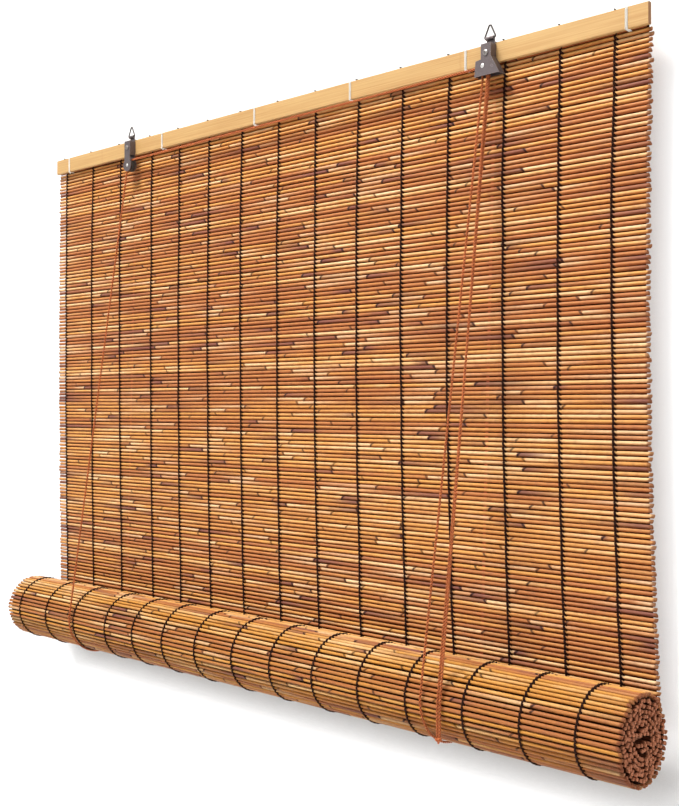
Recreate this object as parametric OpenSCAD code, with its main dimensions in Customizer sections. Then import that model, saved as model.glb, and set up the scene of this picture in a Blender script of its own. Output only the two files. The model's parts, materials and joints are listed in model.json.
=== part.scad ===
// Roll-up reed shade: a reed mat under a bamboo header lath, partly rolled up in
// the loops of two lift cords that run over a pulley and a cord lock.
// X runs along the reeds, the front faces -Y and Z points up.
// The origin is over the mat's middle, on the line where hooks bear on the two hanging rings.

/* [Mat] */
// Width of the mat, along the reeds
mat_w = 1000; // [760:10:1400]
// Diameter of one reed
reed_d = 4.5; // [4:0.1:5]
// Clear gap between two reeds
reed_gap = 0.35; // [0.3:0.05:0.6]
// Height of the mat that hangs between the header lath and the roll's axis
mat_drop = 655; // [605:5:775]
// Reed rows tucked behind the header lath
tucked_rows = 3; // [1:1:3]
// Gaps between rows that let light through, counted from the header down
open_gaps = 120; // [20:1:120]
// Thickness of the binding that joins the reeds
binding_t = 1.6; // [0.8:0.1:2.4]
// Width of the binding at the first and the last warp
binding_w = 3; // [2:0.5:6]

/* [Warp threads] */
// Number of warp columns
warp_count = 15; // [5:1:21]
// First warp's distance from the left edge
warp_left = 19; // [10:1:60]
// Last warp's distance from the right edge
warp_right = 37; // [10:1:60]
// Width of a warp thread
warp_w = 1.4; // [0.8:0.1:2.4]
// Thickness of a warp thread
warp_t = 0.6; // [0.3:0.1:1]

/* [Header] */
// Height of the header lath
lath_h = 21; // [20:0.5:30]
// Thickness of the header lath
lath_t = 5; // [4.6:0.2:8]
// Chamfer on the laths' edges
lath_chamfer = 0.6; // [0.2:0.1:1.2]
// Width of a tie thread
tie_w = 1.6; // [1:0.2:3]
// Thickness of a tie thread
tie_t = 0.5; // [0.3:0.1:0.7]

/* [Roll] */
// Radius of the outer turn, at the middle of its reeds
roll_r = 42.25; // [36:0.25:60]
// Slack between two turns
turn_gap = 0.7; // [0.6:0.1:2]
// How far the turns stand out past the mat's edge at each end
roll_stand = 5; // [0:0.5:12]
// Depth of the end faces between the turns
end_depth = 4; // [1:0.5:8]
// Width of the bottom lath in the roll's core
core_lath_w = 20; // [14:1:24]
// Thickness of the bottom lath
core_lath_t = 4; // [3:0.5:6]

/* [Cords] */
// Diameter of the lift and pull cords
cord_d = 2.3; // [1.8:0.1:2.6]
// Radius of a stop knot
knot_r = 1.7; // [1.6:0.05:1.8]
// Drift of the left cord's front strand to the left on its way down
front_drift_left = 36; // [8:1:44]
// Drift of the right cord's front strand to the left
front_drift_right = 30; // [8:1:36]
// Drift of the left cord's back strand to the left
back_drift_left = 23; // [4:1:30]
// Drift of the right cord's back strand to the left
back_drift_right = 18; // [4:1:30]
// How far the pull cords hang below the roll's axis
pull_drop = 28; // [10:1:60]
// Pull cords' middle at the roll, left of the hanger's middle
pull_shift = 6; // [2:0.5:12]
// Distance between the two pull cords at the roll
pull_spread = 3.4; // [3.2:0.1:6]
// Radius of the knot at the pull cords' end
pull_knot_r = 3.2; // [2.8:0.1:5]

/* [Rings] */
// Distance between the two hangers
hanger_span = 625; // [400:5:720]
// Hangers' middle, right of the mat's middle
hanger_shift = 8; // [0:1:20]
// Wire of the hanging rings
wire_d = 1.8; // [1.4:0.1:2.2]
// Outside width of a ring
ring_w = 15; // [14:0.5:20]
// Outside height of a ring
ring_h = 15.4; // [14:0.2:20]
// Bend radius at a ring's corners
ring_bend = 1.6; // [1.3:0.1:2]
// Ring's base above the lath's top edge
loop_rise = 5; // [4:0.2:8]

/* [Hanger plates] */
// Sheet thickness of the hanger plates
sheet_t = 1; // [0.8:0.1:1.2]
// Width of the channel over the lath
channel_w = 12.5; // [12.5:0.5:16]
// Clear depth between front and back plate
channel_depth = 8; // [7.8:0.1:10]
// Front plate's top edge below the lath's top edge
channel_drop = 2; // [0:0.5:4]
// Screws' distance below the lath's top edge
screw_drop = 11.6; // [9:0.2:12.6]
// Radius of a screw's shank
screw_r = 1.5; // [1.2:0.1:1.6]
// Radius of a screw's head
screw_head_r = 3.1; // [2.6:0.1:3.6]

/* [Pulley] */
// Pulley axle's distance below the lath
pulley_drop = 15; // [12:0.5:20]
// Radius of the round cheeks at the pulley
cheek_r = 8.75; // [8:0.25:11]
// Radius of the cord's middle on the pulley
pulley_r = 7.4; // [4:0.1:7.4]
// Radius of the cord's middle on the lock's sheave
sheave_r = 4.2; // [4:0.1:4.6]
// Width of the single pulley
pulley_w = 6; // [5:0.5:7]
// Radius of the pulley and sheave axles
axle_r = 1.5; // [1.2:0.1:1.6]
// Running clearance round an axle
run_gap = 0.06; // [0.04:0.01:0.1]

/* [Cord lock] */
// Housing's shoulder above the lath's lower edge
shoulder_rise = 3.4; // [2.8:0.2:5]
// Housing's lower edge below the lath
lock_drop = 13.8; // [13:0.2:18]
// Cord's entry in the housing's left wall, below the lath
guide_drop = 4.2; // [3.8:0.1:4.8]
// Housing's reach to the left at its foot
lock_left = 14.6; // [14.6:0.2:18]
// Housing's reach to the right at its foot
lock_right = 17; // [17:0.5:20]
// Sheave's axle, left of the hanger's middle
sheave_x = 4.5; // [4.2:0.1:4.8]
// Sheave's axle below the lath
sheave_drop = 3.4; // [3.2:0.1:4]
// Distance between the middles of the two grooves
groove_pitch = 3.6; // [3.5:0.05:3.8]
// Cam pin, right of the hanger's middle
cam_x = 7.8; // [7.8:0.1:8.2]
// Cam pin below the lath
cam_drop = 5.6; // [5:0.1:6]
// Radius of the cam pin
cam_pin_r = 1.2; // [1:0.1:1.3]
// Teeth on the cam
cam_teeth = 6; // [4:1:8]
// Height of the cam's teeth
tooth_h = 0.8; // [0.4:0.1:1]

/* [Hidden] */
$fn = 48;
clear = 0.3;
touch = 0.1;
// How far a cutting body runs past the faces it opens
cut = 1;
cord_sides = 8;

// Heights, downwards from where a hook bears on the rings
ring_base_z = 1.5 * wire_d - ring_h;
lath_top = ring_base_z - loop_rise;
lath_bottom = lath_top - lath_h;
channel_top = lath_top - channel_drop;
screw_z = lath_top - screw_drop;
pulley_z = lath_bottom - pulley_drop;
sheave_z = lath_bottom - sheave_drop;
shoulder_z = lath_bottom + shoulder_rise;
lock_z = lath_bottom - lock_drop;
cam_z = lath_bottom - cam_drop;

// Depths, from the rings' plane at y = 0 back to the mat
loop_r = wire_d / 2 + run_gap;
lath_front = loop_r + sheet_t;
lath_back = lath_front + lath_t;
back_plate_y = lath_front - sheet_t;
front_plate_y = back_plate_y - channel_depth - sheet_t;
channel_mid_y = back_plate_y - channel_depth / 2;
reed_r = reed_d / 2;
mat_y = lath_back + 2 * touch + warp_t + reed_r;
mat_back = mat_y + reed_r;

// Reed rows: tucked ones, a gap that the ties pass through, then the hung ones
reed_pitch = reed_d + reed_gap;
hung_rows = round(mat_drop / reed_pitch);
tie_slot = 2 * tie_t;
tucked_z = lath_bottom + reed_r;
hung_z = lath_bottom - tie_slot - reed_r;
axis_z = hung_z - (hung_rows - 1) * reed_pitch - reed_pitch / 2;
tucked_rows_z = [for (i = [0 : tucked_rows - 1]) tucked_z + i * reed_pitch];
hung_rows_z = [for (i = [0 : hung_rows - 1]) hung_z - i * reed_pitch];
row_z = concat(tucked_rows_z, hung_rows_z);
mat_top = tucked_rows_z[tucked_rows - 1];
closed_top = hung_rows_z[min(open_gaps, hung_rows) - 1];
warp_step = (mat_w - warp_left - warp_right) / (warp_count - 1);
warp_x = [for (i = [0 : warp_count - 1]) warp_left - mat_w / 2 + i * warp_step];
front_warp_foot = axis_z + roll_r / 3;

// The roll's turns: an even spiral, wound from the mat's foot under and to the front
axis_y = mat_y - roll_r;
turn_pitch = reed_d + turn_gap;
turn_fall = turn_pitch / 360;
roll_len = mat_w + 2 * roll_stand;
core_len = roll_len - 2 * end_depth;
core_r = norm([core_lath_w, core_lath_t]) / 2 + reed_r + clear;
last_angle = (roll_r - core_r) / turn_fall;
turn_step = 20;
roll_out_r = roll_r + reed_r;
fall_rad = turn_pitch / (2 * PI);
function turn_r(angle) = roll_r - turn_fall * angle;
function turn_point(angle, out = 0) =
    (turn_r(angle) + out) * [cos(angle), -sin(angle)];
function reed_angle(run) = (roll_r - sqrt(roll_r ^ 2 - 2 * fall_rad * run)) / fall_rad * 180 / PI;
outer_reeds = floor((2 * PI * roll_r - PI * turn_pitch) / reed_pitch);
outer_angles = [for (i = [0 : outer_reeds - 1]) reed_angle((i + 0.5) * reed_pitch)];

// Places along the header
left_x = hanger_shift - hanger_span / 2;
right_x = hanger_shift + hanger_span / 2;
tie_share = [-0.466, -0.237, -0.047, 0.119, 0.287, 0.477];
strap_w = channel_w - 2 * sheet_t - 2 * clear;
hole_edge = 1.5;
cord_hole_z = lath_top - knot_r - hole_edge;

// Cords
cord_r = cord_d / 2;
cord_hole_r = cord_r + clear;
groove_r = cord_r + clear;
wrap_r = roll_out_r + clear + cord_r;
back_cord_y = mat_back + warp_t + 2 * touch + cord_r;
back_bend = 2.4 * cord_d;
strand_gap = 0.4;
below_lock_z = lock_z - cord_d;
below_pulley_z = pulley_z - cheek_r;
lift_front_x = [left_x - front_drift_left, right_x - front_drift_right];
lift_back_x = [left_x - back_drift_left, right_x - back_drift_right];
pull_mid_x = right_x - pull_shift;
pull_x = [pull_mid_x - pull_spread / 2, pull_mid_x + pull_spread / 2];
arc_pitch = 2.6 * cord_d;
arc_step = 360 * arc_pitch / (2 * PI * wrap_r);

// Corners of the lock's front, clockwise from the strap's top left, x from the hanger's middle
shoulder_fall = 1;
left_lean = 1.6;
slant_top = shoulder_z + 2 * shoulder_fall;
corner_z = shoulder_z - shoulder_fall;
lock_corners = [
    [-channel_w / 2, channel_top],
    [-channel_w / 2, shoulder_z],
    [left_lean - lock_left, corner_z],
    [-lock_left, lock_z],
    [lock_right, lock_z],
    [channel_w / 2, slant_top],
    [channel_w / 2, channel_top]
];

// The cord's entry, at the middle of the housing's left wall
guide_z = lath_bottom - guide_drop;
guide_share = (corner_z - guide_z) / (corner_z - lock_z);
guide_x = left_lean * (1 - guide_share) - lock_left + sheet_t / 2;

// Where the strands leave the pulley and the lock's two grooves
front_groove_y = channel_mid_y - groove_pitch / 2;
back_groove_y = channel_mid_y + groove_pitch / 2;
lock_axle_x = right_x - sheave_x;
left_top = [left_x - pulley_r, channel_mid_y, below_pulley_z];
right_top = [lock_axle_x - sheave_r, back_groove_y, below_lock_z];

// Sets a profile drawn in (y, z) along X, centred on x = 0
module along_x(length) {
    rotate([90, 0, 90])
        linear_extrude(length, center = true)
            children();
}

// Sets a profile drawn in (x, z) upright, from y_front back to y_back
module upright(y_front, y_back) {
    translate([0, y_back, 0])
        rotate([90, 0, 0])
            linear_extrude(y_back - y_front)
                children();
}

// Round bar along Y from y_front back to y_back
module bar_y(x, z, r, y_front, y_back) {
    translate([x, y_back, z])
        rotate([90, 0, 0])
            cylinder(h = y_back - y_front, r = r);
}

// Rectangle with chamfered corners, from its low corner
module eased_rect(w, h, chamfer) {
    polygon([
        [chamfer, 0], [w - chamfer, 0], [w, chamfer], [w, h - chamfer],
        [w - chamfer, h], [chamfer, h], [0, h - chamfer], [0, chamfer]
    ]);
}

// Wall strip of thickness t on the left of the line from a to b
module strip(a, b, t) {
    side = t * [a.y - b.y, b.x - a.x] / norm(b - a);
    polygon([a, b, b + side, a + side]);
}

// Tube of a cord along points; across is a direction that no stretch runs along
function unit(v) = v / norm(v);
function heading(p, i) = unit(p[min(i + 1, len(p) - 1)] - p[max(i - 1, 0)]);
function ring_points(p, i, r, across) =
    let (
        ahead = heading(p, i),
        side = unit(across - (across * ahead) * ahead),
        up = cross(ahead, side)
    )
    [for (k = [0 : cord_sides - 1])
        p[i] + r * (cos(k * 360 / cord_sides) * side + sin(k * 360 / cord_sides) * up)];
module tube(p, r, across) {
    n = cord_sides;
    points = [for (i = [0 : len(p) - 1]) each ring_points(p, i, r, across)];
    walls = [for (i = [0 : len(p) - 2], k = [0 : n - 1])
        [i * n + k, (i + 1) * n + k, (i + 1) * n + (k + 1) % n, i * n + (k + 1) % n]];
    start_cap = [for (k = [0 : n - 1]) k];
    end_cap = [for (k = [n - 1 : -1 : 0]) (len(p) - 1) * n + k];
    polyhedron(points, concat(walls, [start_cap, end_cap]));
}

// Point of a cord that lies round the roll, at an angle of 0 for +Y and 90 for +Z
function wrap_point(x, angle) =
    [x, axis_y + wrap_r * cos(angle), axis_z + wrap_r * sin(angle)];

// Angle at which a cord coming down from (y, z) meets the front of the roll
function landing(y, z) =
    let (to_y = y - axis_y, to_z = z - axis_z)
    atan2(to_z, to_y) + acos(wrap_r / norm([to_y, to_z]));

module header_lath() {
    color("#e9cf94")
    difference() {
        translate([0, lath_front, lath_bottom])
            along_x(mat_w)
                eased_rect(lath_t, lath_h, lath_chamfer);
        for (x = [left_x, right_x]) {
            bar_y(x, screw_z, screw_r + touch, lath_front - clear, lath_back - sheet_t);
            bar_y(x, cord_hole_z, cord_hole_r, lath_front, lath_back + clear);
            bar_y(x, cord_hole_z, knot_r + clear, lath_front - clear, lath_front + touch + 2 * knot_r);
        }
    }
}

module header_ties() {
    color("white")
    for (share = tie_share)
        translate([share * mat_w, 0, 0])
            along_x(tie_w)
                difference() {
                    translate([lath_front - touch - tie_t, lath_bottom - tie_t - touch])
                        square([mat_back - lath_front + 2 * (touch + tie_t), lath_h + 2 * (touch + tie_t)]);
                    translate([lath_front - touch, lath_bottom - touch])
                        square([mat_back - lath_front + 2 * touch, lath_h + 2 * touch]);
                }
}

module reed_mat() {
    binding_x = [warp_x[0], warp_x[warp_count - 1]];
    color("#b9792f") {
        for (z = row_z)
            translate([0, mat_y, z])
                rotate([0, 90, 0])
                    cylinder(h = mat_w, r = reed_r, center = true);
        for (x = binding_x)
            translate([x - binding_w / 2, mat_y - binding_t / 2, axis_z + reed_pitch / 2])
                cube([binding_w, binding_t, mat_top - axis_z - reed_pitch / 2]);
        for (span = [[axis_z + reed_pitch / 2, closed_top], [tucked_z, mat_top]])
            translate([binding_x[0], mat_y - binding_t / 2, span[0]])
                cube([binding_x[1] - binding_x[0], binding_t, span[1] - span[0]]);
    }
}

module warp_threads() {
    color("#1d1714")
    for (x = warp_x) {
        translate([x - warp_w / 2, mat_y - reed_r - touch - warp_t, front_warp_foot])
            cube([warp_w, warp_t, lath_top - front_warp_foot]);
        translate([x - warp_w / 2, mat_back + touch, axis_z])
            cube([warp_w, warp_t, mat_top - axis_z]);
    }
}

// Strap with a rolled eye for the ring's base and a lip folded over the lath
module strap_with_eye(foot_z) {
    difference() {
        union() {
            translate([-strap_w / 2, back_plate_y, foot_z])
                cube([strap_w, sheet_t, ring_base_z - foot_z]);
            translate([0, 0, ring_base_z])
                rotate([0, 90, 0])
                    cylinder(h = strap_w, r = loop_r + sheet_t, center = true);
            translate([-strap_w / 2, back_plate_y, lath_top])
                cube([strap_w, sheet_t + lath_t, sheet_t]);
            children();
        }
        translate([0, 0, ring_base_z])
            rotate([0, 90, 0])
                cylinder(h = strap_w + 2 * cut, r = loop_r, center = true);
        bar_y(0, screw_z, screw_r + touch, back_plate_y - cut, lath_front + cut);
    }
}

module left_hanger_plate() {
    color("#5d5550")
    translate([left_x, 0, 0])
        difference() {
            strap_with_eye(pulley_z)
                bar_y(0, pulley_z, cheek_r, back_plate_y, lath_front);
            bar_y(0, pulley_z, axle_r + run_gap, back_plate_y - cut, lath_front + cut);
        }
}

module left_pulley_cover() {
    flange_foot = lath_bottom - sheet_t;
    color("#6a605b")
    translate([left_x, 0, 0])
        difference() {
            union() {
                translate([-channel_w / 2, front_plate_y, pulley_z])
                    cube([channel_w, sheet_t, channel_top - pulley_z]);
                bar_y(0, pulley_z, cheek_r, front_plate_y, front_plate_y + sheet_t);
                for (x = [-channel_w / 2, channel_w / 2 - sheet_t])
                    translate([x, front_plate_y, flange_foot])
                        cube([sheet_t, lath_front - front_plate_y, channel_top - flange_foot]);
            }
            bar_y(0, screw_z, screw_r + touch, front_plate_y - cut, front_plate_y + sheet_t + cut);
            bar_y(0, pulley_z, axle_r + run_gap, front_plate_y - cut, front_plate_y + sheet_t + cut);
        }
}

// Triangular wire ring standing on its base, with the base's middle line at height 0.
// The bends are a hair thicker than the wire, as a bent wire is.
module wire_ring() {
    r = wire_d / 2;
    right_angle = 90;
    bend_swell = 0.03;
    bend_r = r + bend_swell;
    overlap = 0.15;
    top = ring_h - wire_d - ring_bend;
    half = (ring_w - wire_d) / 2 - ring_bend;
    slope = unit([half, ring_bend - top]);
    normal = [-slope.y, slope.x];
    lean = atan2(normal.y, normal.x);
    side_len = norm([half, ring_bend - top]);
    corners = [[[0, top], lean, 2 * (right_angle - lean)],
               [[-half, ring_bend], 2 * right_angle - lean, right_angle + lean],
               [[half, ring_bend], -right_angle, right_angle + lean]];
    rotate([90, 0, 0]) {
        for (corner = corners)
            translate(corner[0])
                rotate(corner[1])
                    rotate_extrude(angle = corner[2])
                        translate([ring_bend, 0])
                            circle(bend_r);
        for (side = [0, 1])
            mirror([side, 0, 0])
                translate([ring_bend * normal.x, top + ring_bend * normal.y, 0])
                    rotate(atan2(slope.y, slope.x))
                        translate([-overlap, 0, 0])
                            rotate([0, 90, 0])
                                cylinder(h = side_len + 2 * overlap, r = r);
        rotate([0, 90, 0])
            cylinder(h = 2 * (half + overlap), r = r, center = true);
    }
}

module left_ring() {
    color("#4b4542")
    translate([left_x, 0, ring_base_z])
        wire_ring();
}

module right_ring() {
    color("#4b4542")
    translate([right_x, 0, ring_base_z])
        wire_ring();
}

// Pan-head cross-recess screw through both plates into the lath
module hanger_screw(x) {
    head_h = 1.8;
    recess_w = 0.9;
    recess_len = 1.3 * screw_head_r;
    recess_depth = 1;
    recess_turn = 20;
    tip_y = lath_back - sheet_t - touch;
    difference() {
        union() {
            bar_y(x, screw_z, screw_r, front_plate_y - touch, tip_y);
            intersection() {
                bar_y(x, screw_z, screw_head_r, front_plate_y - head_h, front_plate_y);
                translate([x, front_plate_y - head_h + 2 * screw_head_r, screw_z])
                    sphere(2 * screw_head_r);
            }
        }
        for (turn = [0, 90])
            translate([x, front_plate_y - head_h + recess_depth / 2, screw_z])
                rotate([0, turn + recess_turn, 0])
                    cube([recess_len, recess_depth + touch, recess_w], center = true);
    }
}

module left_screw() {
    color("#8d8782")
    hanger_screw(left_x);
}

module right_screw() {
    color("#8d8782")
    hanger_screw(right_x);
}

// Axle rivet with a domed head in front, ending at y_end
module rivet(x, z, y_end) {
    head_r = 1.6 * axle_r;
    head_h = axle_r / 2;
    dome_r = 1.5 * head_r;
    bar_y(x, z, axle_r, front_plate_y - touch, y_end);
    intersection() {
        bar_y(x, z, head_r, front_plate_y - head_h, front_plate_y);
        translate([x, front_plate_y - head_h + dome_r, z])
            sphere(dome_r);
    }
}

module left_axle() {
    color("#c9c4bd")
    rivet(left_x, pulley_z, lath_front + touch);
}

module lock_axle() {
    color("#c9c4bd")
    rivet(lock_axle_x, sheave_z, lath_front);
}

// Sheave on an axle along Y that carries a cord at radius r in each groove
module grooved_sheave(r, w, grooves) {
    rotate([90, 0, 0])
        rotate_extrude()
            difference() {
                translate([axle_r + run_gap, -w / 2])
                    square([r + cord_r - axle_r - run_gap, w]);
                for (g = grooves)
                    translate([r, g])
                        circle(groove_r);
                for (g = grooves)
                    translate([r, g - groove_r])
                        square([r, 2 * groove_r]);
            }
}

module left_pulley() {
    color("#2f2b29")
    translate([left_x, channel_mid_y, pulley_z])
        grooved_sheave(pulley_r, pulley_w, [0]);
}

module lock_sheave() {
    color("#2f2b29")
    translate([lock_axle_x, channel_mid_y, sheave_z])
        grooved_sheave(sheave_r, channel_depth - 2 * clear, [-groove_pitch / 2, groove_pitch / 2]);
}

module lock_housing() {
    c = lock_corners;
    lap = sheet_t / 2;
    color("#6a605b")
    translate([right_x, 0, 0])
        difference() {
            union() {
                upright(front_plate_y, front_plate_y + sheet_t)
                    polygon(c);
                upright(front_plate_y, lath_front) {
                    strip(c[0], c[1] - [0, sheet_t], sheet_t);
                    strip(c[1] + lap * unit(c[1] - c[2]), c[2], sheet_t);
                    strip(c[2], c[3], sheet_t);
                    strip(c[4], c[5] + lap * unit(c[5] - c[4]), sheet_t);
                    strip(c[5], c[6], sheet_t);
                }
            }
            bar_y(0, screw_z, screw_r + touch, front_plate_y - cut, front_plate_y + sheet_t + cut);
            bar_y(-sheave_x, sheave_z, axle_r + run_gap, front_plate_y - cut, front_plate_y + sheet_t + cut);
            bar_y(cam_x, cam_z, cam_pin_r + run_gap, front_plate_y - cut, front_plate_y + sheet_t + cut);
            translate([guide_x, front_groove_y, guide_z])
                rotate([0, 90, 0])
                    cylinder(h = sheet_t + 2 * cut, r = cord_r + 2 * clear, center = true);
        }
}

module right_hanger_plate() {
    inset = sheet_t + clear;
    c = lock_corners;
    color("#5d5550")
    translate([right_x, 0, 0])
        difference() {
            strap_with_eye(lock_z)
                upright(back_plate_y, lath_front)
                    polygon([
                        [-strap_w / 2, corner_z - inset],
                        [c[2].x + inset, corner_z - inset],
                        [c[3].x + inset, lock_z],
                        [c[4].x - 1.2 * inset, lock_z],
                        [strap_w / 2, slant_top]
                    ]);
            bar_y(-sheave_x, sheave_z, axle_r + run_gap, back_plate_y - cut, lath_front + cut);
            bar_y(cam_x, cam_z, cam_pin_r + run_gap, back_plate_y - cut, lath_front + cut);
        }
}

// Toothed cam, growing downwards so that a cord pulled up drags it tighter
module lock_cam() {
    grip_x = cam_x + sheave_x - sheave_r - cord_r - clear;
    growth = 1.2;
    first = 140;
    sweep = 80;
    hub_wall = 1.2;
    steps = 2 * cam_teeth;
    edge = [for (i = [0 : steps])
        let (a = first + sweep * i / steps,
             r = grip_x - growth * (steps - i) / steps - (i % 2) * tooth_h)
        r * [cos(a), sin(a)]];
    color("#4d4744")
    translate([right_x + cam_x, 0, cam_z])
        upright(front_plate_y + sheet_t + clear, back_plate_y - clear)
            difference() {
                union() {
                    polygon(concat([[0, 0]], edge));
                    circle(cam_pin_r + hub_wall);
                }
                circle(cam_pin_r + run_gap);
            }
}

module lock_cam_pin() {
    color("#6a605b")
    bar_y(right_x + cam_x, cam_z, cam_pin_r, front_plate_y, lath_front);
}

module core_slot() {
    square([core_lath_w + 2 * clear, core_lath_t + 2 * clear], center = true);
}

module outer_reeds() {
    for (a = outer_angles)
        translate(turn_point(a))
            circle(reed_r);
}

// Inner turns seen at the roll's ends, one spiral band
module inner_turns() {
    half = reed_r - turn_gap / 2;
    angles = [for (a = [360 : turn_step : last_angle]) a];
    n = len(angles);
    polygon(concat(
        [for (a = angles) turn_point(a, half)],
        [for (i = [n - 1 : -1 : 0]) turn_point(angles[i], -half)]
    ));
}

module reed_roll() {
    color("#c98a35")
    translate([0, axis_y, axis_z]) {
        along_x(core_len)
            difference() {
                union() {
                    polygon([for (a = outer_angles) turn_point(a)]);
                    outer_reeds();
                }
                core_slot();
            }
        for (side = [-1, 1])
            translate([side * (core_len + end_depth) / 2, 0, 0])
                along_x(end_depth) {
                    outer_reeds();
                    inner_turns();
                }
    }
}

module roll_warp_threads() {
    first = 3;
    last = 345;
    step = 9;
    lift = reed_r + 2 * touch;
    angles = [for (a = [first : step : last]) a];
    n = len(angles);
    color("#1d1714")
    for (x = warp_x)
        translate([x, axis_y, axis_z])
            along_x(warp_w)
                polygon(concat(
                    [for (a = angles) turn_point(a, lift + warp_t)],
                    [for (i = [n - 1 : -1 : 0]) turn_point(angles[i], lift)]
                ));
}

module bottom_lath() {
    color("#d9b877")
    translate([0, axis_y - core_lath_w / 2, axis_z - core_lath_t / 2])
        along_x(mat_w)
            eased_rect(core_lath_w, core_lath_t, lath_chamfer);
}

// Straight front strand from below a hanger down to the roll's front
module front_strand(top, foot_x) {
    foot = wrap_point(foot_x, landing(top.y, top.z));
    tube([top, foot + strand_gap * unit(top - foot)], cord_r, [1, 0, 0]);
}

// Loop under the roll, from the front strand's foot to the back strand's foot
module cradle(top, front_x, back_x) {
    first = landing(top.y, top.z);
    steps = ceil((360 - first) / arc_step);
    tube([for (i = [0 : steps])
            wrap_point(front_x + (back_x - front_x) * i / steps, first + (360 - first) * i / steps)],
         cord_r, [1, 0, 0]);
}

// Back strand from its knot in the lath, over the top reed and down behind the mat
module back_strand(x, foot_x) {
    knot_y = lath_front + touch + 2 * knot_r;
    bend_y = back_cord_y - back_bend;
    bend_z = cord_hole_z - back_bend;
    bend = [for (a = [90 : -30 : 0]) [x, bend_y + back_bend * cos(a), bend_z + back_bend * sin(a)]];
    foot = wrap_point(foot_x, 360) + [0, 0, strand_gap];
    tube(concat([[x, knot_y, cord_hole_z]], bend, [foot]), cord_r, [1, 0, 0]);
}

module left_front_cord() {
    color("#b5582a")
    front_strand(left_top, lift_front_x[0]);
}

module right_front_cord() {
    color("#b5582a")
    front_strand(right_top, lift_front_x[1]);
}

module left_cradle_cord() {
    color("#b5582a")
    cradle(left_top, lift_front_x[0], lift_back_x[0]);
}

module right_cradle_cord() {
    color("#b5582a")
    cradle(right_top, lift_front_x[1], lift_back_x[1]);
}

module left_back_cord() {
    color("#b5582a")
    back_strand(left_x, lift_back_x[0]);
}

module right_back_cord() {
    color("#b5582a")
    back_strand(right_x, lift_back_x[1]);
}

// Cord at radius r round a sheave's top, from angle first on its left to angle last
function over_sheave(middle, r, first, last) =
    let (steps = 5)
    [for (i = [0 : steps])
        let (a = first + (last - first) * i / steps)
        middle + r * [cos(a), 0, sin(a)]];

// Left cord over the pulley, along the header and over the lock's sheave, and the right cord over it
module cross_cord() {
    pull_top_x = lock_axle_x + sheave_r;
    kink_x = right_x + guide_x + sheet_t;
    kink_angle = 135;
    color("#b5582a") {
        tube(concat([left_top],
                    over_sheave([left_x, channel_mid_y, pulley_z], pulley_r, 180, 90),
                    [[kink_x - 2 * cord_d, front_groove_y, guide_z], [kink_x, front_groove_y, guide_z]],
                    over_sheave([lock_axle_x, front_groove_y, sheave_z], sheave_r, kink_angle, 0),
                    [[pull_top_x, front_groove_y, below_lock_z]]),
             cord_r, [0, 1, 0]);
        tube(concat([right_top],
                    over_sheave([lock_axle_x, back_groove_y, sheave_z], sheave_r, 180, 0),
                    [[pull_top_x, back_groove_y, below_lock_z]]),
             cord_r, [0, 1, 0]);
    }
}

// The two pull strands, from the lock to the roll's front and down past it
module pull_cords() {
    color("#b5582a")
    for (i = [0, 1]) {
        top = [lock_axle_x + sheave_r, [back_groove_y, front_groove_y][i], below_lock_z];
        foot_y = axis_y - wrap_r;
        tube([top,
              wrap_point(pull_x[i], landing(top.y, top.z)),
              [pull_x[i], foot_y, axis_z],
              [pull_x[i], foot_y, axis_z - pull_drop]],
             cord_r, [1, 0, 0]);
    }
}

module pull_knot() {
    color("#b5582a")
    translate([pull_mid_x, axis_y - wrap_r, axis_z - pull_drop - pull_knot_r - touch])
        sphere(pull_knot_r);
}

module lift_cord_knots() {
    color("#b5582a")
    for (x = [left_x, right_x])
        translate([x, lath_front + touch + knot_r, cord_hole_z])
            sphere(knot_r);
}

header_lath();
header_ties();
reed_mat();
warp_threads();
left_hanger_plate();
left_pulley_cover();
left_ring();
left_screw();
left_axle();
left_pulley();
right_hanger_plate();
lock_housing();
right_ring();
right_screw();
lock_axle();
lock_sheave();
lock_cam();
lock_cam_pin();
reed_roll();
roll_warp_threads();
bottom_lath();
left_front_cord();
left_cradle_cord();
left_back_cord();
right_front_cord();
right_cradle_cord();
right_back_cord();
cross_cord();
pull_cords();
pull_knot();
lift_cord_knots();
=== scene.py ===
"""Looks of a reed roll-up shade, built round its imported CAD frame.

Reeds and warp stitches are grown by geometry node trees, cords, ties and thread ends are
swept plies, and the pressed fittings keep their CAD solids under worn finishes.
Everything is in metres, in the CAD frame: X along the reeds, the front faces -Y, Z up.
"""

import json
import logging
import math
from abc import ABC, abstractmethod
from dataclasses import dataclass, field
from enum import Enum
from typing import Any, Dict, List, Optional, Sequence, Tuple, Union

import bmesh
import bpy
import numpy as np
from mathutils import Matrix, Vector

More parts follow.
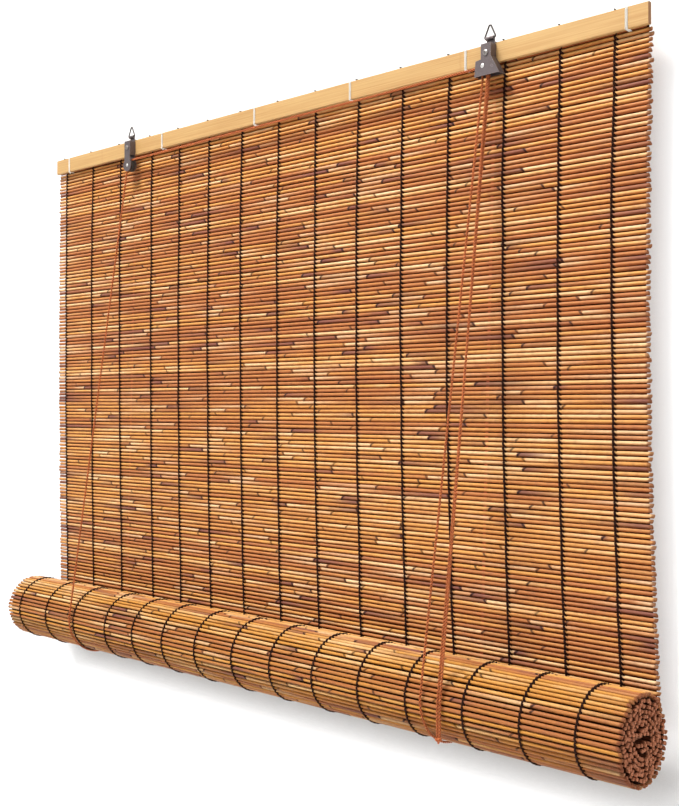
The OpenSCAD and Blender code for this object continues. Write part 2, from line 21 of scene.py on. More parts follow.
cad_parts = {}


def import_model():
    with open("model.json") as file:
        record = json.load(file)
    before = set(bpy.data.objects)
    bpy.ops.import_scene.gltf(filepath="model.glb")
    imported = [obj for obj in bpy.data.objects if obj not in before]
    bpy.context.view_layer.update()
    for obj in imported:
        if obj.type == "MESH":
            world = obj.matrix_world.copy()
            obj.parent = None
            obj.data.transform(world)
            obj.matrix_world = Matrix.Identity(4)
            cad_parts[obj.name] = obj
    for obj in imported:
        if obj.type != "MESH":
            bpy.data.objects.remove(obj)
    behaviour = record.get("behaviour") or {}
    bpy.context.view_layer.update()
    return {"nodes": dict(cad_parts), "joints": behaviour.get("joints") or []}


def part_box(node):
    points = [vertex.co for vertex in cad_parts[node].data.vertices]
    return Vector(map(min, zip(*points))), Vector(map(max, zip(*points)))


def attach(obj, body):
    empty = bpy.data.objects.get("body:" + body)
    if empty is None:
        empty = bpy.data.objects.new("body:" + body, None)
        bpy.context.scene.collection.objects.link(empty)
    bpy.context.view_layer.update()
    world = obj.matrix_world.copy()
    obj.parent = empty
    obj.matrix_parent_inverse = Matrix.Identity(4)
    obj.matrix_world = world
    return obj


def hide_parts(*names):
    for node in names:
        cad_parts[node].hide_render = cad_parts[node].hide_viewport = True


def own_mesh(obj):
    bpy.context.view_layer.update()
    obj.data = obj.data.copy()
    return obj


log = logging.getLogger("shade")

MM = 0.001
TURN = 2.0 * math.pi
Colour = Tuple[float, float, float]
Point = Tuple[float, float, float]
Value = Union[float, int, "Sock"]


class Body(Enum):
    """The CAD bodies that dressed pieces ride on."""

    HEADER = "header"
    CRADLE = "cradle"
    ROLL = "roll"


class Side(Enum):
    """The face of the mat that a row of stitches lies on, as a turn about Z."""

    FRONT = 0.0
    BACK = math.pi


class Kind(Enum):
    """Socket types of a node tree's named inputs."""

    COUNT = "NodeSocketInt"
    SIZE = "NodeSocketFloat"
    FINISH = "NodeSocketMaterial"
    SHAPE = "NodeSocketObject"


class Sock:
    """A node's output that arithmetic turns into Math nodes."""

    def __init__(self, net: "Net", socket: bpy.types.NodeSocket) -> None:
        """Holds the tree's builder and the socket."""
        self.net = net
        self.socket = socket

    def __add__(self, other: Value) -> "Sock":
        """Sum of two values."""
        return self.net.math("ADD", self, other)

    def __radd__(self, other: Value) -> "Sock":
        """Sum with a plain number in front."""
        return self.net.math("ADD", other, self)

    def __sub__(self, other: Value) -> "Sock":
        """Difference of two values."""
        return self.net.math("SUBTRACT", self, other)

    def __rsub__(self, other: Value) -> "Sock":
        """Difference with a plain number in front."""
        return self.net.math("SUBTRACT", other, self)

    def __mul__(self, other: Value) -> "Sock":
        """Product of two values."""
        return self.net.math("MULTIPLY", self, other)

    def __rmul__(self, other: Value) -> "Sock":
        """Product with a plain number in front."""
        return self.net.math("MULTIPLY", other, self)

    def __truediv__(self, other: Value) -> "Sock":
        """Quotient of two values."""
        return self.net.math("DIVIDE", self, other)

    def __gt__(self, other: Value) -> "Sock":
        """One where this value is the greater."""
        return self.net.math("GREATER_THAN", self, other)


class Net:
    """Builder of a shader's or a geometry's node tree."""

    def __init__(self, tree: bpy.types.NodeTree) -> None:
        """Holds the tree that nodes go into."""
        self.tree = tree

    def feed(self, socket: bpy.types.NodeSocket, value: Any) -> None:
        """Links a Sock to a socket, or sets a plain value on it."""
        if isinstance(value, Sock):
            self.tree.links.new(value.socket, socket)
        else:
            socket.default_value = value

    def node(
        self,
        kind: str,
        inputs: Optional[Dict[Union[str, int], Any]] = None,
        out: Union[str, int] = 0,
        **settings: Any,
    ) -> Sock:
        """Adds any node.

        Args:
            kind: the node's type name.
            inputs: values or links by socket name or number.
            out: name or number of the output to return.
            **settings: the node's own settings, set before its sockets.

        Returns:
            The chosen output.
        """
        made = self.tree.nodes.new(kind)
        for key, value in settings.items():
            setattr(made, key, value)
        for key, value in (inputs or {}).items():
            self.feed(made.inputs[key], value)
        return Sock(self, made.outputs[out])

    def math(self, operation: str, *values: Value) -> Sock:
        """Adds one Math node over the values."""
        return self.node("ShaderNodeMath", dict(enumerate(values)), operation=operation)

    def smooth(self, value: Value, low: Value, high: Value) -> Sock:
        """Rises smoothly from 0 at low to 1 at high."""
        inputs = {0: value, 1: low, 2: high, 3: 0.0, 4: 1.0}
        return self.node("ShaderNodeMapRange", inputs, interpolation_type="SMOOTHSTEP")

    def mix(self, share: Value, a: Any, b: Any, blend: str = "MIX") -> Sock:
        """Mixes two colours, a at share 0 and b at share 1."""
        a, b = ((*c, 1.0) if isinstance(c, tuple) else c for c in (a, b))
        inputs = {0: share, 6: a, 7: b}
        return self.node("ShaderNodeMix", inputs, 2, data_type="RGBA", blend_type=blend)

    def vector(self, x: Value, y: Value, z: Value) -> Sock:
        """Joins three values into a vector."""
        return self.node("ShaderNodeCombineXYZ", {0: x, 1: y, 2: z})

    def parts(self, vector: Sock) -> Tuple[Sock, Sock, Sock]:
        """Splits a vector into its three values."""
        split = self.node("ShaderNodeSeparateXYZ", {0: vector})
        node = split.socket.node
        return split, Sock(self, node.outputs[1]), Sock(self, node.outputs[2])

    def noise(self, vector: Sock, scale: float = 1.0, detail: float = 3.0) -> Sock:
        """Smooth noise from 0 to 1 over a vector."""
        inputs = {"Vector": vector, "Scale": scale, "Detail": detail}
        return self.node("ShaderNodeTexNoise", inputs)

    def attribute(self, name: str) -> Sock:
        """A mesh attribute as a value in a shader."""
        return self.node("ShaderNodeAttribute", out="Fac", attribute_name=name)


@dataclass(frozen=True)
class Finish(ABC):
    """A surface finish that makes its own procedural material."""

    name: str

    def material(self) -> bpy.types.Material:
        """The finish as a material, made once."""
        found = bpy.data.materials.get(self.name)
        if found is not None:
            return found
        made = bpy.data.materials.new(self.name)
        made.use_nodes = True
        surface = made.node_tree.nodes["Principled BSDF"]
        self.paint(Net(made.node_tree), surface.inputs)
        return made

    @abstractmethod
    def paint(self, net: Net, surface: Any) -> None:
        """Feeds the surface shader's sockets."""

    def bump(self, net: Net, surface: Any, height: Sock, depth: float) -> None:
        """Puts a height on the surface's normal, depth metres deep."""
        inputs = {"Height": height, "Distance": depth, "Strength": 1.0}
        net.feed(surface["Normal"], net.node("ShaderNodeBump", inputs))


@dataclass(frozen=True)
class ReedFinish(Finish):
    """Dyed reed skin: each joint runs from a purple-brown foot to a pale tip, with dark nodes; the
    undersides get painted shade.
    """

    golden: Colour = (0.66, 0.32, 0.088)
    amber: Colour = (0.47, 0.180, 0.062)
    plum: Colour = (0.185, 0.068, 0.056)
    pale: Colour = (0.90, 0.67, 0.40)
    node_mark_and_shadow: Colour = (0.028, 0.008, 0.005)
    underside_shade: Colour = (0.52, 0.25, 0.09)
    cut: Colour = (0.22, 0.080, 0.034)
    cut_length: float = 1.0 * MM
    cut_fade: float = 2.5 * MM
    plum_share: float = 0.62
    node_offset: float = 1.8 * MM
    node_slant: float = 1.5 * MM
    node_edge: Tuple[float, float] = (0.7 * MM, 2.4 * MM)
    node_clear: Tuple[float, float] = (3.0 * MM, 8.0 * MM)
    streak_scale: float = 22.0
    fibre_scale: float = 160.0
    cloud_scale: float = 3.2
    roughness: float = 0.36
    gloss: float = 0.14
    grain: float = 0.18 * MM

    def paint(self, net: Net, surface: Any) -> None:
        """Feeds the surface shader's sockets."""
        along = net.attribute("reed_t")
        length = net.attribute("reed_len")
        tone = net.attribute("reed_tone")
        dark = net.attribute("reed_dark")
        seed = net.attribute("reed_seed")
        run = along * length
        streak = net.noise(net.vector(run * self.streak_scale, tone * 37.0, seed * 91.0), detail=4.0)
        fibre = net.noise(net.vector(run * self.fibre_scale, tone * 71.0, seed * 43.0))
        place = net.node("ShaderNodeTexCoord", out="Object")
        cloud = net.noise(place, self.cloud_scale, 2.0)
        depth = tone * 1.2 + streak * 0.7 + cloud * 0.9 - 0.55
        skin = net.mix(net.smooth(depth, 0.40, 1.20), self.golden, self.amber)
        skin = net.mix((1.0 - net.smooth(depth, 0.05, 0.55)) * 0.6, skin, self.pale)
        foot = 1.0 - net.smooth(along + streak * 0.16 - 0.08, 0.03, 0.18 + seed * 0.55)
        foot = foot * net.smooth(dark, 1.0 - self.plum_share, 1.05)
        skin = net.mix(foot * 0.92, skin, self.plum)
        tip = net.smooth(along + streak * 0.2, 0.55, 1.15) * net.smooth(seed, 0.25, 0.95)
        skin = net.mix(tip * 0.6, skin, self.pale)
        skin = net.mix(net.smooth(fibre, 0.42, 0.8) * 0.28, skin, self.plum)
        # Painted shade: the side of each reed where reed_side is low is multiplied by the darker, more
        # saturated underside colour.
        side = net.attribute("reed_side")
        below = net.smooth(streak * 0.3 - side, -0.05, 0.95)
        skin = net.mix(below * 0.85, skin, net.mix(1.0, skin, self.underside_shade, "MULTIPLY"))
        # Dark node mark slanted across the reed: partly the node's own dark ring, partly painted shadow
        # below the swollen sheath.
        past = net.math("ABSOLUTE", run - self.node_offset - side * self.node_slant)
        reach = length * (0.5 - net.attribute("reed_free") * (along - 0.5))
        node = 1.0 - net.smooth(past, *self.node_edge)
        node = node * net.smooth(reach, *self.node_clear) * (0.65 + dark * 0.35)
        skin = net.mix(node, skin, self.node_mark_and_shadow)
        start = self.cut_length * (0.35 + seed * 1.1)
        end = 1.0 - net.smooth(reach, start, start + self.cut_fade)
        net.feed(surface["Base Color"], net.mix(end * (0.55 + streak * 0.5), skin, self.cut))
        net.feed(surface["Roughness"], self.roughness + fibre * 0.16 + foot * 0.08 + end * 0.3)
        surface["Specular IOR Level"].default_value = self.gloss
        self.bump(net, surface, fibre + streak * 0.5, self.grain)


@dataclass(frozen=True)
class BambooFinish(Finish):
    """Planed bamboo with fibres along X and darker sawn ends, partly end grain and partly painted shade."""

    pale: Colour = (0.55, 0.345, 0.135)
    tan: Colour = (0.45, 0.245, 0.082)
    end: Colour = (0.22, 0.095, 0.032)
    half_width: float = 0.5
    joint_half: float = 165 * MM
    joint_shift: float = 47 * MM
    joint_edge: Tuple[float, float] = (0.4 * MM, 2.2 * MM)
    saw_edge: Tuple[float, float] = (0.6 * MM, 0.2 * MM)
    coat: float = 0.12
    coat_roughness: float = 0.35
    grain: float = 0.12 * MM

    def paint(self, net: Net, surface: Any) -> None:
        """Feeds the surface shader's sockets."""
        x, y, z = net.parts(net.node("ShaderNodeTexCoord", out="Object"))
        fibre = net.noise(net.vector(x * 9.0, y * 900.0, z * 900.0), detail=5.0)
        cloud = net.noise(net.vector(x * 7.0, y * 40.0, z * 55.0), detail=2.0)
        fleck = net.noise(net.vector(x * 60.0, y * 700.0, z * 1500.0), detail=2.0)
        tone = net.mix(net.smooth(fibre + cloud * 0.6, 0.55, 1.15), self.pale, self.tan)
        tone = net.mix(net.smooth(fleck, 0.62, 0.8) * 0.35, tone, self.tan)
        joint = net.math("PINGPONG", x + cloud * 0.006 + self.joint_shift, self.joint_half)
        tone = net.mix((1.0 - net.smooth(joint, *self.joint_edge)) * 0.4, tone, self.tan)
        # The last bit of each end and the end face are darker: partly the sawn end grain, partly painted
        # shade on the ends.
        saw_from, saw_to = (self.half_width - inset for inset in self.saw_edge)
        sawn = net.smooth(net.math("ABSOLUTE", x), saw_from, saw_to)
        net.feed(surface["Base Color"], net.mix(sawn * 0.92, tone, self.end))
        net.feed(surface["Roughness"], 0.46 + fibre * 0.16 + sawn * 0.3)
        surface["Coat Weight"].default_value = self.coat
        surface["Coat Roughness"].default_value = self.coat_roughness
        self.bump(net, surface, fibre, self.grain)


@dataclass(frozen=True)
class PlyFinish(Finish):
    """Twisted thread or cord: fibres wind round each ply, with darker strands among them and painted shade
    in the crevices between plies.
    """

    light: Colour = (0.74, 0.22, 0.075)
    dark: Colour = (0.16, 0.026, 0.009)
    fibres: float = 900.0
    roughness: float = 0.74
    gloss: float = 0.25
    grain: float = 0.12 * MM

    def paint(self, net: Net, surface: Any) -> None:
        """Feeds the surface shader's sockets."""
        run = net.attribute("ply_run")
        turn = net.attribute("ply_turn")
        ply = net.attribute("ply_index")
        slant = net.vector(run * self.fibres, turn * 7.0 + run * self.fibres * 0.6, ply * 31.0)
        hair = net.noise(slant, detail=4.0)
        patch = net.noise(net.vector(run * 70.0, ply * 17.0, turn * 2.0), detail=3.0)
        # turn darkens each ply's inner side: painted shade in the crevices between plies; hair and patch are
        # the fibres' own mottling.
        shade = net.smooth(hair * 0.7 + patch * 0.8 + turn * 0.9, 0.7, 1.6)
        net.feed(surface["Base Color"], net.mix(shade, self.light, self.dark))
        net.feed(surface["Roughness"], self.roughness + hair * 0.2)
        surface["Specular IOR Level"].default_value = self.gloss
        self.bump(net, surface, hair, self.grain)


@dataclass(frozen=True)
class MetalFinish(Finish):
    """Pressed or drawn steel: a dark coat with cloudy patches, rubbed bright along its edges."""

    coat: Colour = (0.130, 0.107, 0.110)
    bare: Colour = (0.42, 0.38, 0.36)
    rust: Colour = (0.090, 0.048, 0.030)
    metallic: float = 0.75
    roughness: float = 0.42
    wear: float = 0.8
    edge: float = 0.5 * MM
    cloud_scale: float = 260.0
    scratch_scale: float = 1900.0
    grain: float = 0.06 * MM

    def paint(self, net: Net, surface: Any) -> None:
        """Feeds the surface shader's sockets."""
        place = net.node("ShaderNodeTexCoord", out="Object")
        cloud = net.noise(place, self.cloud_scale, 4.0)
        scratch = net.noise(place, self.scratch_scale, 3.0)
        rounded = net.node("ShaderNodeBevel", {"Radius": self.edge}, samples=6)
        flat = net.node("ShaderNodeNewGeometry", out="Normal")
        facing = net.node("ShaderNodeVectorMath", {0: rounded, 1: flat}, "Value", operation="DOT_PRODUCT")
        rim = net.smooth(1.0 - facing + scratch * 0.03, 0.02, 0.22) * self.wear
        coat = net.mix(net.smooth(cloud, 0.4, 0.8) * 0.25, self.coat, self.rust)
        coat = net.mix(net.smooth(scratch, 0.55, 0.8) * 0.3, coat, self.bare)
        net.feed(surface["Base Color"], net.mix(rim, coat, self.bare))
        net.feed(surface["Roughness"], self.roughness + cloud * 0.2 - rim * 0.12)
        surface["Metallic"].default_value = self.metallic
        self.bump(net, surface, scratch * 0.5 + cloud, self.grain)


@dataclass(frozen=True)
class NylonFinish(Finish):
    """Moulded dark nylon, rubbed a little paler where the cord runs."""

    body: Colour = (0.030, 0.027, 0.025)
    rubbed: Colour = (0.075, 0.055, 0.045)
    grain_scale: float = 700.0
    grain: float = 0.05 * MM

    def paint(self, net: Net, surface: Any) -> None:
        """Feeds the surface shader's sockets."""
        place = net.node("ShaderNodeTexCoord", out="Object")
        grain = net.noise(place, self.grain_scale, 4.0)
        net.feed(surface["Base Color"], net.mix(net.smooth(grain, 0.4, 0.75), self.body, self.rubbed))
        net.feed(surface["Roughness"], 0.45 + grain * 0.2)
        self.bump(net, surface, grain, self.grain)


@dataclass(frozen=True)
class GapShadeFinish(Finish):
    """Painted shade: a dark sheet behind the gaps between reeds, standing for the shade between them, redder
    along given lines where the back cords run.
    """

    deep: Colour = (0.040, 0.011, 0.003)
    brown: Colour = (0.075, 0.022, 0.006)
    cord: Colour = (0.50, 0.12, 0.065)
    lines: Tuple[Tuple[float, float], ...] = ()
    half: float = 1.3 * MM
    gloss: float = 0.1
    grain_scale: float = 500.0
    grain: float = 0.1 * MM

    def paint(self, net: Net, surface: Any) -> None:
        """Feeds the surface shader's sockets."""
        place = net.node("ShaderNodeTexCoord", out="Object")
        x, _, z = net.parts(place)
        grain = net.noise(place, self.grain_scale, 4.0)
        tone = net.mix(net.smooth(grain, 0.35, 0.75), self.deep, self.brown)
        for top, slope in self.lines:
            off = net.math("ABSOLUTE", x - top - z * slope)
            lies = 1.0 - net.smooth(off, self.half, self.half * 2.0)
            tone = net.mix(lies * net.smooth(grain, 0.2, 0.5), tone, self.cord)
        net.feed(surface["Base Color"], tone)
        net.feed(surface["Roughness"], 0.75 + grain * 0.2)
        surface["Specular IOR Level"].default_value = self.gloss
        self.bump(net, surface, grain, self.grain)


class GeoTree(Net):
    """A geometry node tree with named inputs that is baked to a plain mesh."""

    def __init__(self, name: str) -> None:
        """Starts an empty tree with one geometry output."""
        super().__init__(bpy.data.node_groups.new(name, "GeometryNodeTree"))
        self.name = name
        self.settings: Dict[str, Any] = {}
        self.tree.interface.new_socket("Geometry", in_out="OUTPUT", socket_type="NodeSocketGeometry")
        self.entry = self.tree.nodes.new("NodeGroupInput")

    def value(self, name: str, kind: Kind, setting: Any) -> Sock:
        """Adds a named input.

        Args:
            name: the input's name.
            kind: its socket type.
            setting: the value that the modifier gets.

        Returns:
            The input as a value in the tree.
        """
        item = self.tree.interface.new_socket(name, in_out="INPUT", socket_type=kind.value)
        self.settings[item.identifier] = setting
        return Sock(self, next(s for s in self.entry.outputs if s.identifier == item.identifier))

    def random(self, low: float, high: float, ident: Value, seed: int) -> Sock:
        """A random value for each ident, the same on every run."""
        inputs = {2: low, 3: high, 7: ident, 8: seed}
        return self.node("FunctionNodeRandomValue", inputs, 1, data_type="FLOAT")

    def store(self, geometry: Sock, name: str, value: Value, domain: str) -> Sock:
        """Stores a value as a named attribute on points or instances."""
        inputs = {"Geometry": geometry, "Name": name, "Value": value}
        return self.node("GeometryNodeStoreNamedAttribute", inputs, data_type="FLOAT", domain=domain)

    def bake(self, instances: Sock, finish: Finish) -> bpy.types.Object:
        """Closes the tree and turns its result into a plain mesh object.

        Args:
            instances: the tree's last geometry.
            finish: the finish of the whole mesh.

        Returns:
            The object, named as the tree is, with no modifier left.
        """
        material = self.value("Finish", Kind.FINISH, finish.material())
        real = self.node("GeometryNodeRealizeInstances", {"Geometry": instances})
        soft = self.node("GeometryNodeSetShadeSmooth", {"Geometry": real})
        dressed = self.node("GeometryNodeSetMaterial", {"Geometry": soft, "Material": material})
        self.feed(self.tree.nodes.new("NodeGroupOutput").inputs["Geometry"], dressed)
        host = bpy.data.objects.new(self.name, bpy.data.meshes.new(self.name + "_seed"))
        bpy.context.scene.collection.objects.link(host)
        modifier = host.modifiers.new("grow", "NODES")
        modifier.node_group = self.tree
        for identifier, setting in self.settings.items():
            modifier[identifier] = setting
        graph = bpy.context.evaluated_depsgraph_get()
        mesh = bpy.data.meshes.new_from_object(
            host.evaluated_get(graph), preserve_all_data_layers=True, depsgraph=graph
        )
        host.modifiers.remove(modifier)
        host.data = mesh
        return host


class Course(ABC):
    """Where the rows of a reed mat lie, seen along X."""

    @abstractmethod
    def spot(self, tree: GeoTree, row: Sock, x: Sock) -> Tuple[Sock, Sock, Value]:
        """The middle (y, z) of a row at x, and the turn about X of its front face."""

    @abstractmethod
    def lean(self, row: Sock, share: Value) -> Value:
        """How far a row lies to the right, at a share of its length from the left."""


@dataclass(frozen=True)
class HungCourse(Course):
    """Rows of the mat as it hangs, with slow waves that neighbours share."""

    y: float
    top: float
    pitch: float
    rows: int
    tucked: int
    wave: float = 2.2 * MM
    wave_scale: Tuple[float, float] = (5.0, 0.05)
    wave_seed: float = 3.7
    bow: Tuple[float, float] = (-22 * MM, 30 * MM)
    left_bow: float = 0.6
    short: float = 6 * MM

    def lean(self, row: Sock, share: Value) -> Value:
        """How far a row lies to the right, at a share of its length from the left."""
        u = row / self.rows
        bow = (u * self.bow[0] + u * u * self.bow[1]) * (self.left_bow + (1.0 - self.left_bow) * share)
        return bow - (self.tucked - 0.5 - row > 0.0) * share * self.short

    def spot(self, tree: GeoTree, row: Sock, x: Sock) -> Tuple[Sock, Sock, Value]:
        """The middle (y, z) of a row at x, and the turn about X of its front face."""
        along, down = self.wave_scale
        wave = tree.noise(tree.vector(x * along, row * down, self.wave_seed), 1.0, 1.0) - 0.5
        return row * 0.0 + self.y, self.top - row * self.pitch + wave * self.wave, 0.0


@dataclass(frozen=True)
class RolledCourse(Course):
    """Rows of the mat along the roll's spiral, counted from its outer end."""

    axis_y: float
    axis_z: float
    radius: float
    fall: float
    pitch: float
    start: float = 0.0
    slack: float = 0.0
    shift: float = 0.0
    power: float = 1.0
    slack_seed: int = 71

    def lean(self, row: Sock, share: Value) -> Value:
        """How far a row lies to the right, at a share of its length from the left."""
        return self.shift

    def spot(self, tree: GeoTree, row: Sock, x: Sock) -> Tuple[Sock, Sock, Value]:
        """The middle (y, z) of a row at x, and the turn about X of its front face."""
        run = self.start + (row + 0.5) * self.pitch
        root = tree.math("SQRT", self.radius**2 - 2.0 * self.fall * run)
        angle = (self.radius - root) / self.fall
        loose = tree.random(-self.slack, self.slack, row, self.slack_seed)
        radius = self.radius - self.fall * TURN * tree.math("POWER", angle / TURN, self.power) + loose
        y = self.axis_y + radius * tree.math("COSINE", angle)
        z = self.axis_z - radius * tree.math("SINE", angle)
        return y, z, math.pi - angle


@dataclass(frozen=True)
class BundleCourse(Course):
    """Reeds packed below and above the bottom lath in the roll's core, in two layers on each side."""

    axis_y: float
    axis_z: float
    pitch: float = 4.4 * MM
    first: float = 4.9 * MM
    inner_count: int = 5
    outer_count: int = 3

    @property
    def rows(self) -> int:
        """Number of reeds on both sides of the lath."""
        return 2 * (self.inner_count + self.outer_count)

    def lean(self, row: Sock, share: Value) -> Value:
        """How far a row lies to the right, at a share of its length from the left."""
        return 0.0

    def spot(self, tree: GeoTree, row: Sock, x: Sock) -> Tuple[Sock, Sock, Value]:
        """The middle (y, z) of a row at x, and the turn about X of its front face."""
        upper = row > self.rows / 2 - 0.5
        place = row - upper * (self.rows / 2)
        outer = place > self.inner_count - 0.5
        middle, further = (self.inner_count - 1) / 2, (self.inner_count + self.outer_count) / 2
        y = self.axis_y + (place - middle - outer * further) * self.pitch
        z = self.axis_z + (upper * 2.0 - 1.0) * (self.first + outer * self.pitch)
        return y, z, 0.0


@dataclass
class ReedField:
    """Reeds in rows, each row a chain of joints between nodes."""

    name: str
    course: Course
    finish: Finish
    rows: int
    joints: int
    width: float
    radius: float
    seed: int
    middle: float = 0.0
    ragged: float = 1.2 * MM
    wander: float = 0.34 * MM
    free_side: float = 0.0
    sides: int = 9
    rings: Tuple[Tuple[float, float], ...] = (
        (0.0, 1.0), (0.004, 1.08), (0.016, 1.0), (0.5, 0.985), (0.985, 0.955), (1.004, 0.94),
    )
    shear: float = 0.0035
    row_slide: float = 0.5
    joint_slide: float = 0.28
    row_girth: float = 0.05
    joint_girth: float = 0.025

    def joint(self) -> bpy.types.Object:
        """One joint of reed along X, a unit long, with slanted ends and a swollen node at its foot."""
        line = np.array([(t - 0.5, 0.0, 0.0) for t, _ in self.rings])
        loft = Loft(self.sides)
        loft.tube(line, np.array([r for _, r in self.rings]), np.tile((0.0, 1.0, 0.0), (len(line), 1)),
                  np.tile((0.0, 0.0, 1.0), (len(line), 1)))
        along = np.tile([t for t, _ in self.rings], self.sides)
        for k, points in enumerate(loft.points):
            points[:, 0] += self.shear * math.sin(TURN * k / self.sides)
        around = np.sin(TURN * np.repeat(np.arange(self.sides), len(line)) / self.sides)
        return loft.mesh(self.name + "_joint", self.finish, {"reed_t": along, "reed_side": around})

    def end(self, tree: GeoTree, row: Sock, number: Sock) -> Sock:
        """Where a row's joints meet.

        Args:
            tree: the tree that grows the field.
            row: the row's number.
            number: the node's number in the row, 0 at the left end.

        Returns:
            The place of that node, off the row's line by a little.
        """
        ident = row * (self.joints + 1) + number
        inner = (number > 0.5) * (self.joints - 0.5 - number > 0.0)
        shift = tree.random(-1.0, 1.0, ident, self.seed)
        slide = tree.random(-self.row_slide, self.row_slide, row, self.seed + 9) + shift * self.joint_slide
        slide = inner * slide
        share = (number + slide) / self.joints
        x = self.middle + (share - 0.5) * self.width + (1.0 - inner) * shift * self.ragged
        x = x + self.course.lean(row, share)
        y, z, _ = self.course.spot(tree, row, x)
        dy = tree.random(-self.wander, self.wander, ident, self.seed + 1)
        dz = tree.random(-self.wander, self.wander, ident, self.seed + 2)
        return tree.vector(x, y + dy, z + dz)

    def build(self) -> bpy.types.Object:
        """Grows the field and returns it as one mesh."""
        pattern = self.joint()
        tree = GeoTree(self.name)
        rows = tree.value("Rows", Kind.COUNT, self.rows)
        thick = tree.value("Reed radius", Kind.SIZE, self.radius)
        shape = tree.value("Joint", Kind.SHAPE, pattern)
        points = tree.node("GeometryNodePoints", {"Count": rows * self.joints})
        index = tree.node("GeometryNodeInputIndex")
        row = tree.math("FLOOR", (index + 0.5) / self.joints)
        number = index - row * self.joints
        grows = tree.math("SIGN", tree.random(-1.0, 1.0, row, self.seed + 3))
        left = self.end(tree, row, number)
        right = self.end(tree, row, number + 1.0)
        middle = tree.node("ShaderNodeMix", {0: 0.5, 4: left, 5: right}, 1, data_type="VECTOR")
        span = tree.node("ShaderNodeVectorMath", {0: right, 1: left}, operation="SUBTRACT")
        length = tree.node("ShaderNodeVectorMath", {0: span}, "Value", operation="LENGTH")
        way = tree.node("ShaderNodeVectorMath", {0: span, "Scale": grows}, operation="SCALE")
        align, level = "FunctionNodeAlignRotationToVector", tree.vector(grows, 0.0, 0.0)
        upright = tree.node(align, {"Vector": level}, axis="X")
        turn = tree.node(align, {"Rotation": upright, "Vector": way}, axis="X")
        girth = tree.random(1.0 - self.row_girth, 1.0 + self.row_girth, row, self.seed + 4)
        girth = girth + tree.random(-self.joint_girth, self.joint_girth, index, self.seed + 5)
        girth = girth * thick
        placed = tree.node("GeometryNodeSetPosition", {"Geometry": points, "Position": middle})
        joint = tree.node("GeometryNodeObjectInfo", {"Object": shape}, "Geometry")
        spread = {"Points": placed, "Instance": joint, "Rotation": turn}
        spread["Scale"] = tree.vector(length, girth, girth)
        reeds = tree.node("GeometryNodeInstanceOnPoints", spread)
        ends = (number > self.joints - 1.5) - (0.5 - number > 0.0) + self.free_side
        reeds = tree.store(reeds, "reed_free", grows * ends, "INSTANCE")
        reeds = tree.store(reeds, "reed_len", length, "INSTANCE")
        reeds = tree.store(reeds, "reed_tone", tree.random(0.0, 1.0, row, self.seed + 6), "INSTANCE")
        reeds = tree.store(reeds, "reed_dark", tree.random(0.0, 1.0, index, self.seed + 7), "INSTANCE")
        reeds = tree.store(reeds, "reed_seed", tree.random(0.0, 1.0, index, self.seed + 8), "INSTANCE")
        made = tree.bake(reeds, self.finish)
        bpy.data.objects.remove(pattern)
        return made


class Loft:
    """Gathers round tubes along lines into one mesh."""

    def __init__(self, sides: int) -> None:
        """Starts with no tube; each tube has the same number of sides."""
        self.sides = sides
        self.points: List[np.ndarray] = []
        self.faces: List[Tuple[int, ...]] = []
        self.count = 0

    def tube(self, line: np.ndarray, radius: Any, side: np.ndarray, up: np.ndarray,
             phase: Any = 0.0, closed: bool = False) -> None:
        """Adds a tube.

        Args:
            line: its middle, one point a row.
            radius: one radius, or one for each point.
            side: a direction across the line at each point.
            up: the other direction across.
            phase: where the first side lies, as an angle from side.
            closed: whether the tube joins its own start.
        """
        n, base = len(line), self.count
        radius = np.broadcast_to(radius, n)[:, None]
        for k in range(self.sides):
            a = np.broadcast_to(TURN * k / self.sides + phase, n)[:, None]
            self.points.append(line + radius * (np.cos(a) * side + np.sin(a) * up))
        for i in range(n if closed else n - 1):
            j = (i + 1) % n
            for k in range(self.sides):
                m = (k + 1) % self.sides
                self.faces.append((base + k * n + i, base + k * n + j, base + m * n + j, base + m * n + i))
        if not closed:
            self.faces.append(tuple(base + k * n for k in range(self.sides)))
            self.faces.append(tuple(base + k * n + n - 1 for k in reversed(range(self.sides))))
        self.count += n * self.sides

    def mesh(
        self, name: str, finish: Finish, notes: Optional[Dict[str, np.ndarray]] = None
    ) -> bpy.types.Object:
        """The tubes as one mesh object, its faces outwards."""
        made = mesh_object(name, np.concatenate(self.points), self.faces, finish, notes)
        shape = bmesh.new()
        shape.from_mesh(made.data)
        bmesh.ops.recalc_face_normals(shape, faces=shape.faces)
        shape.to_mesh(made.data)
        shape.free()
        return made


def resampled(points: Sequence[Point], step: float, closed: bool = False) -> np.ndarray:
    """Evenly spaced points along a broken line.

    Args:
        points: the line's corners.
        step: about how far apart the new points are.
        closed: whether the line runs back to its start.

    Returns:
        The points, one a row.
    """
    line = np.array([*points, points[0]] if closed else points, float)
    runs = np.concatenate([[0.0], np.cumsum(np.linalg.norm(np.diff(line, axis=0), axis=1))])
    count = max(2, int(round(runs[-1] / step)) + 1)
    places = np.linspace(0.0, runs[-1], count)
    found = np.stack([np.interp(places, runs, line[:, k]) for k in range(3)], axis=1)
    return found[:-1] if closed else found


def eased(line: np.ndarray, rounds: int, closed: bool = False) -> np.ndarray:
    """Rounds a line's corners by averaging neighbours, its ends kept."""
    for _ in range(rounds):
        mean = (np.roll(line, 1, 0) + 2.0 * line + np.roll(line, -1, 0)) / 4.0
        if not closed:
            mean[0], mean[-1] = line[0], line[-1]
        line = mean
    return line


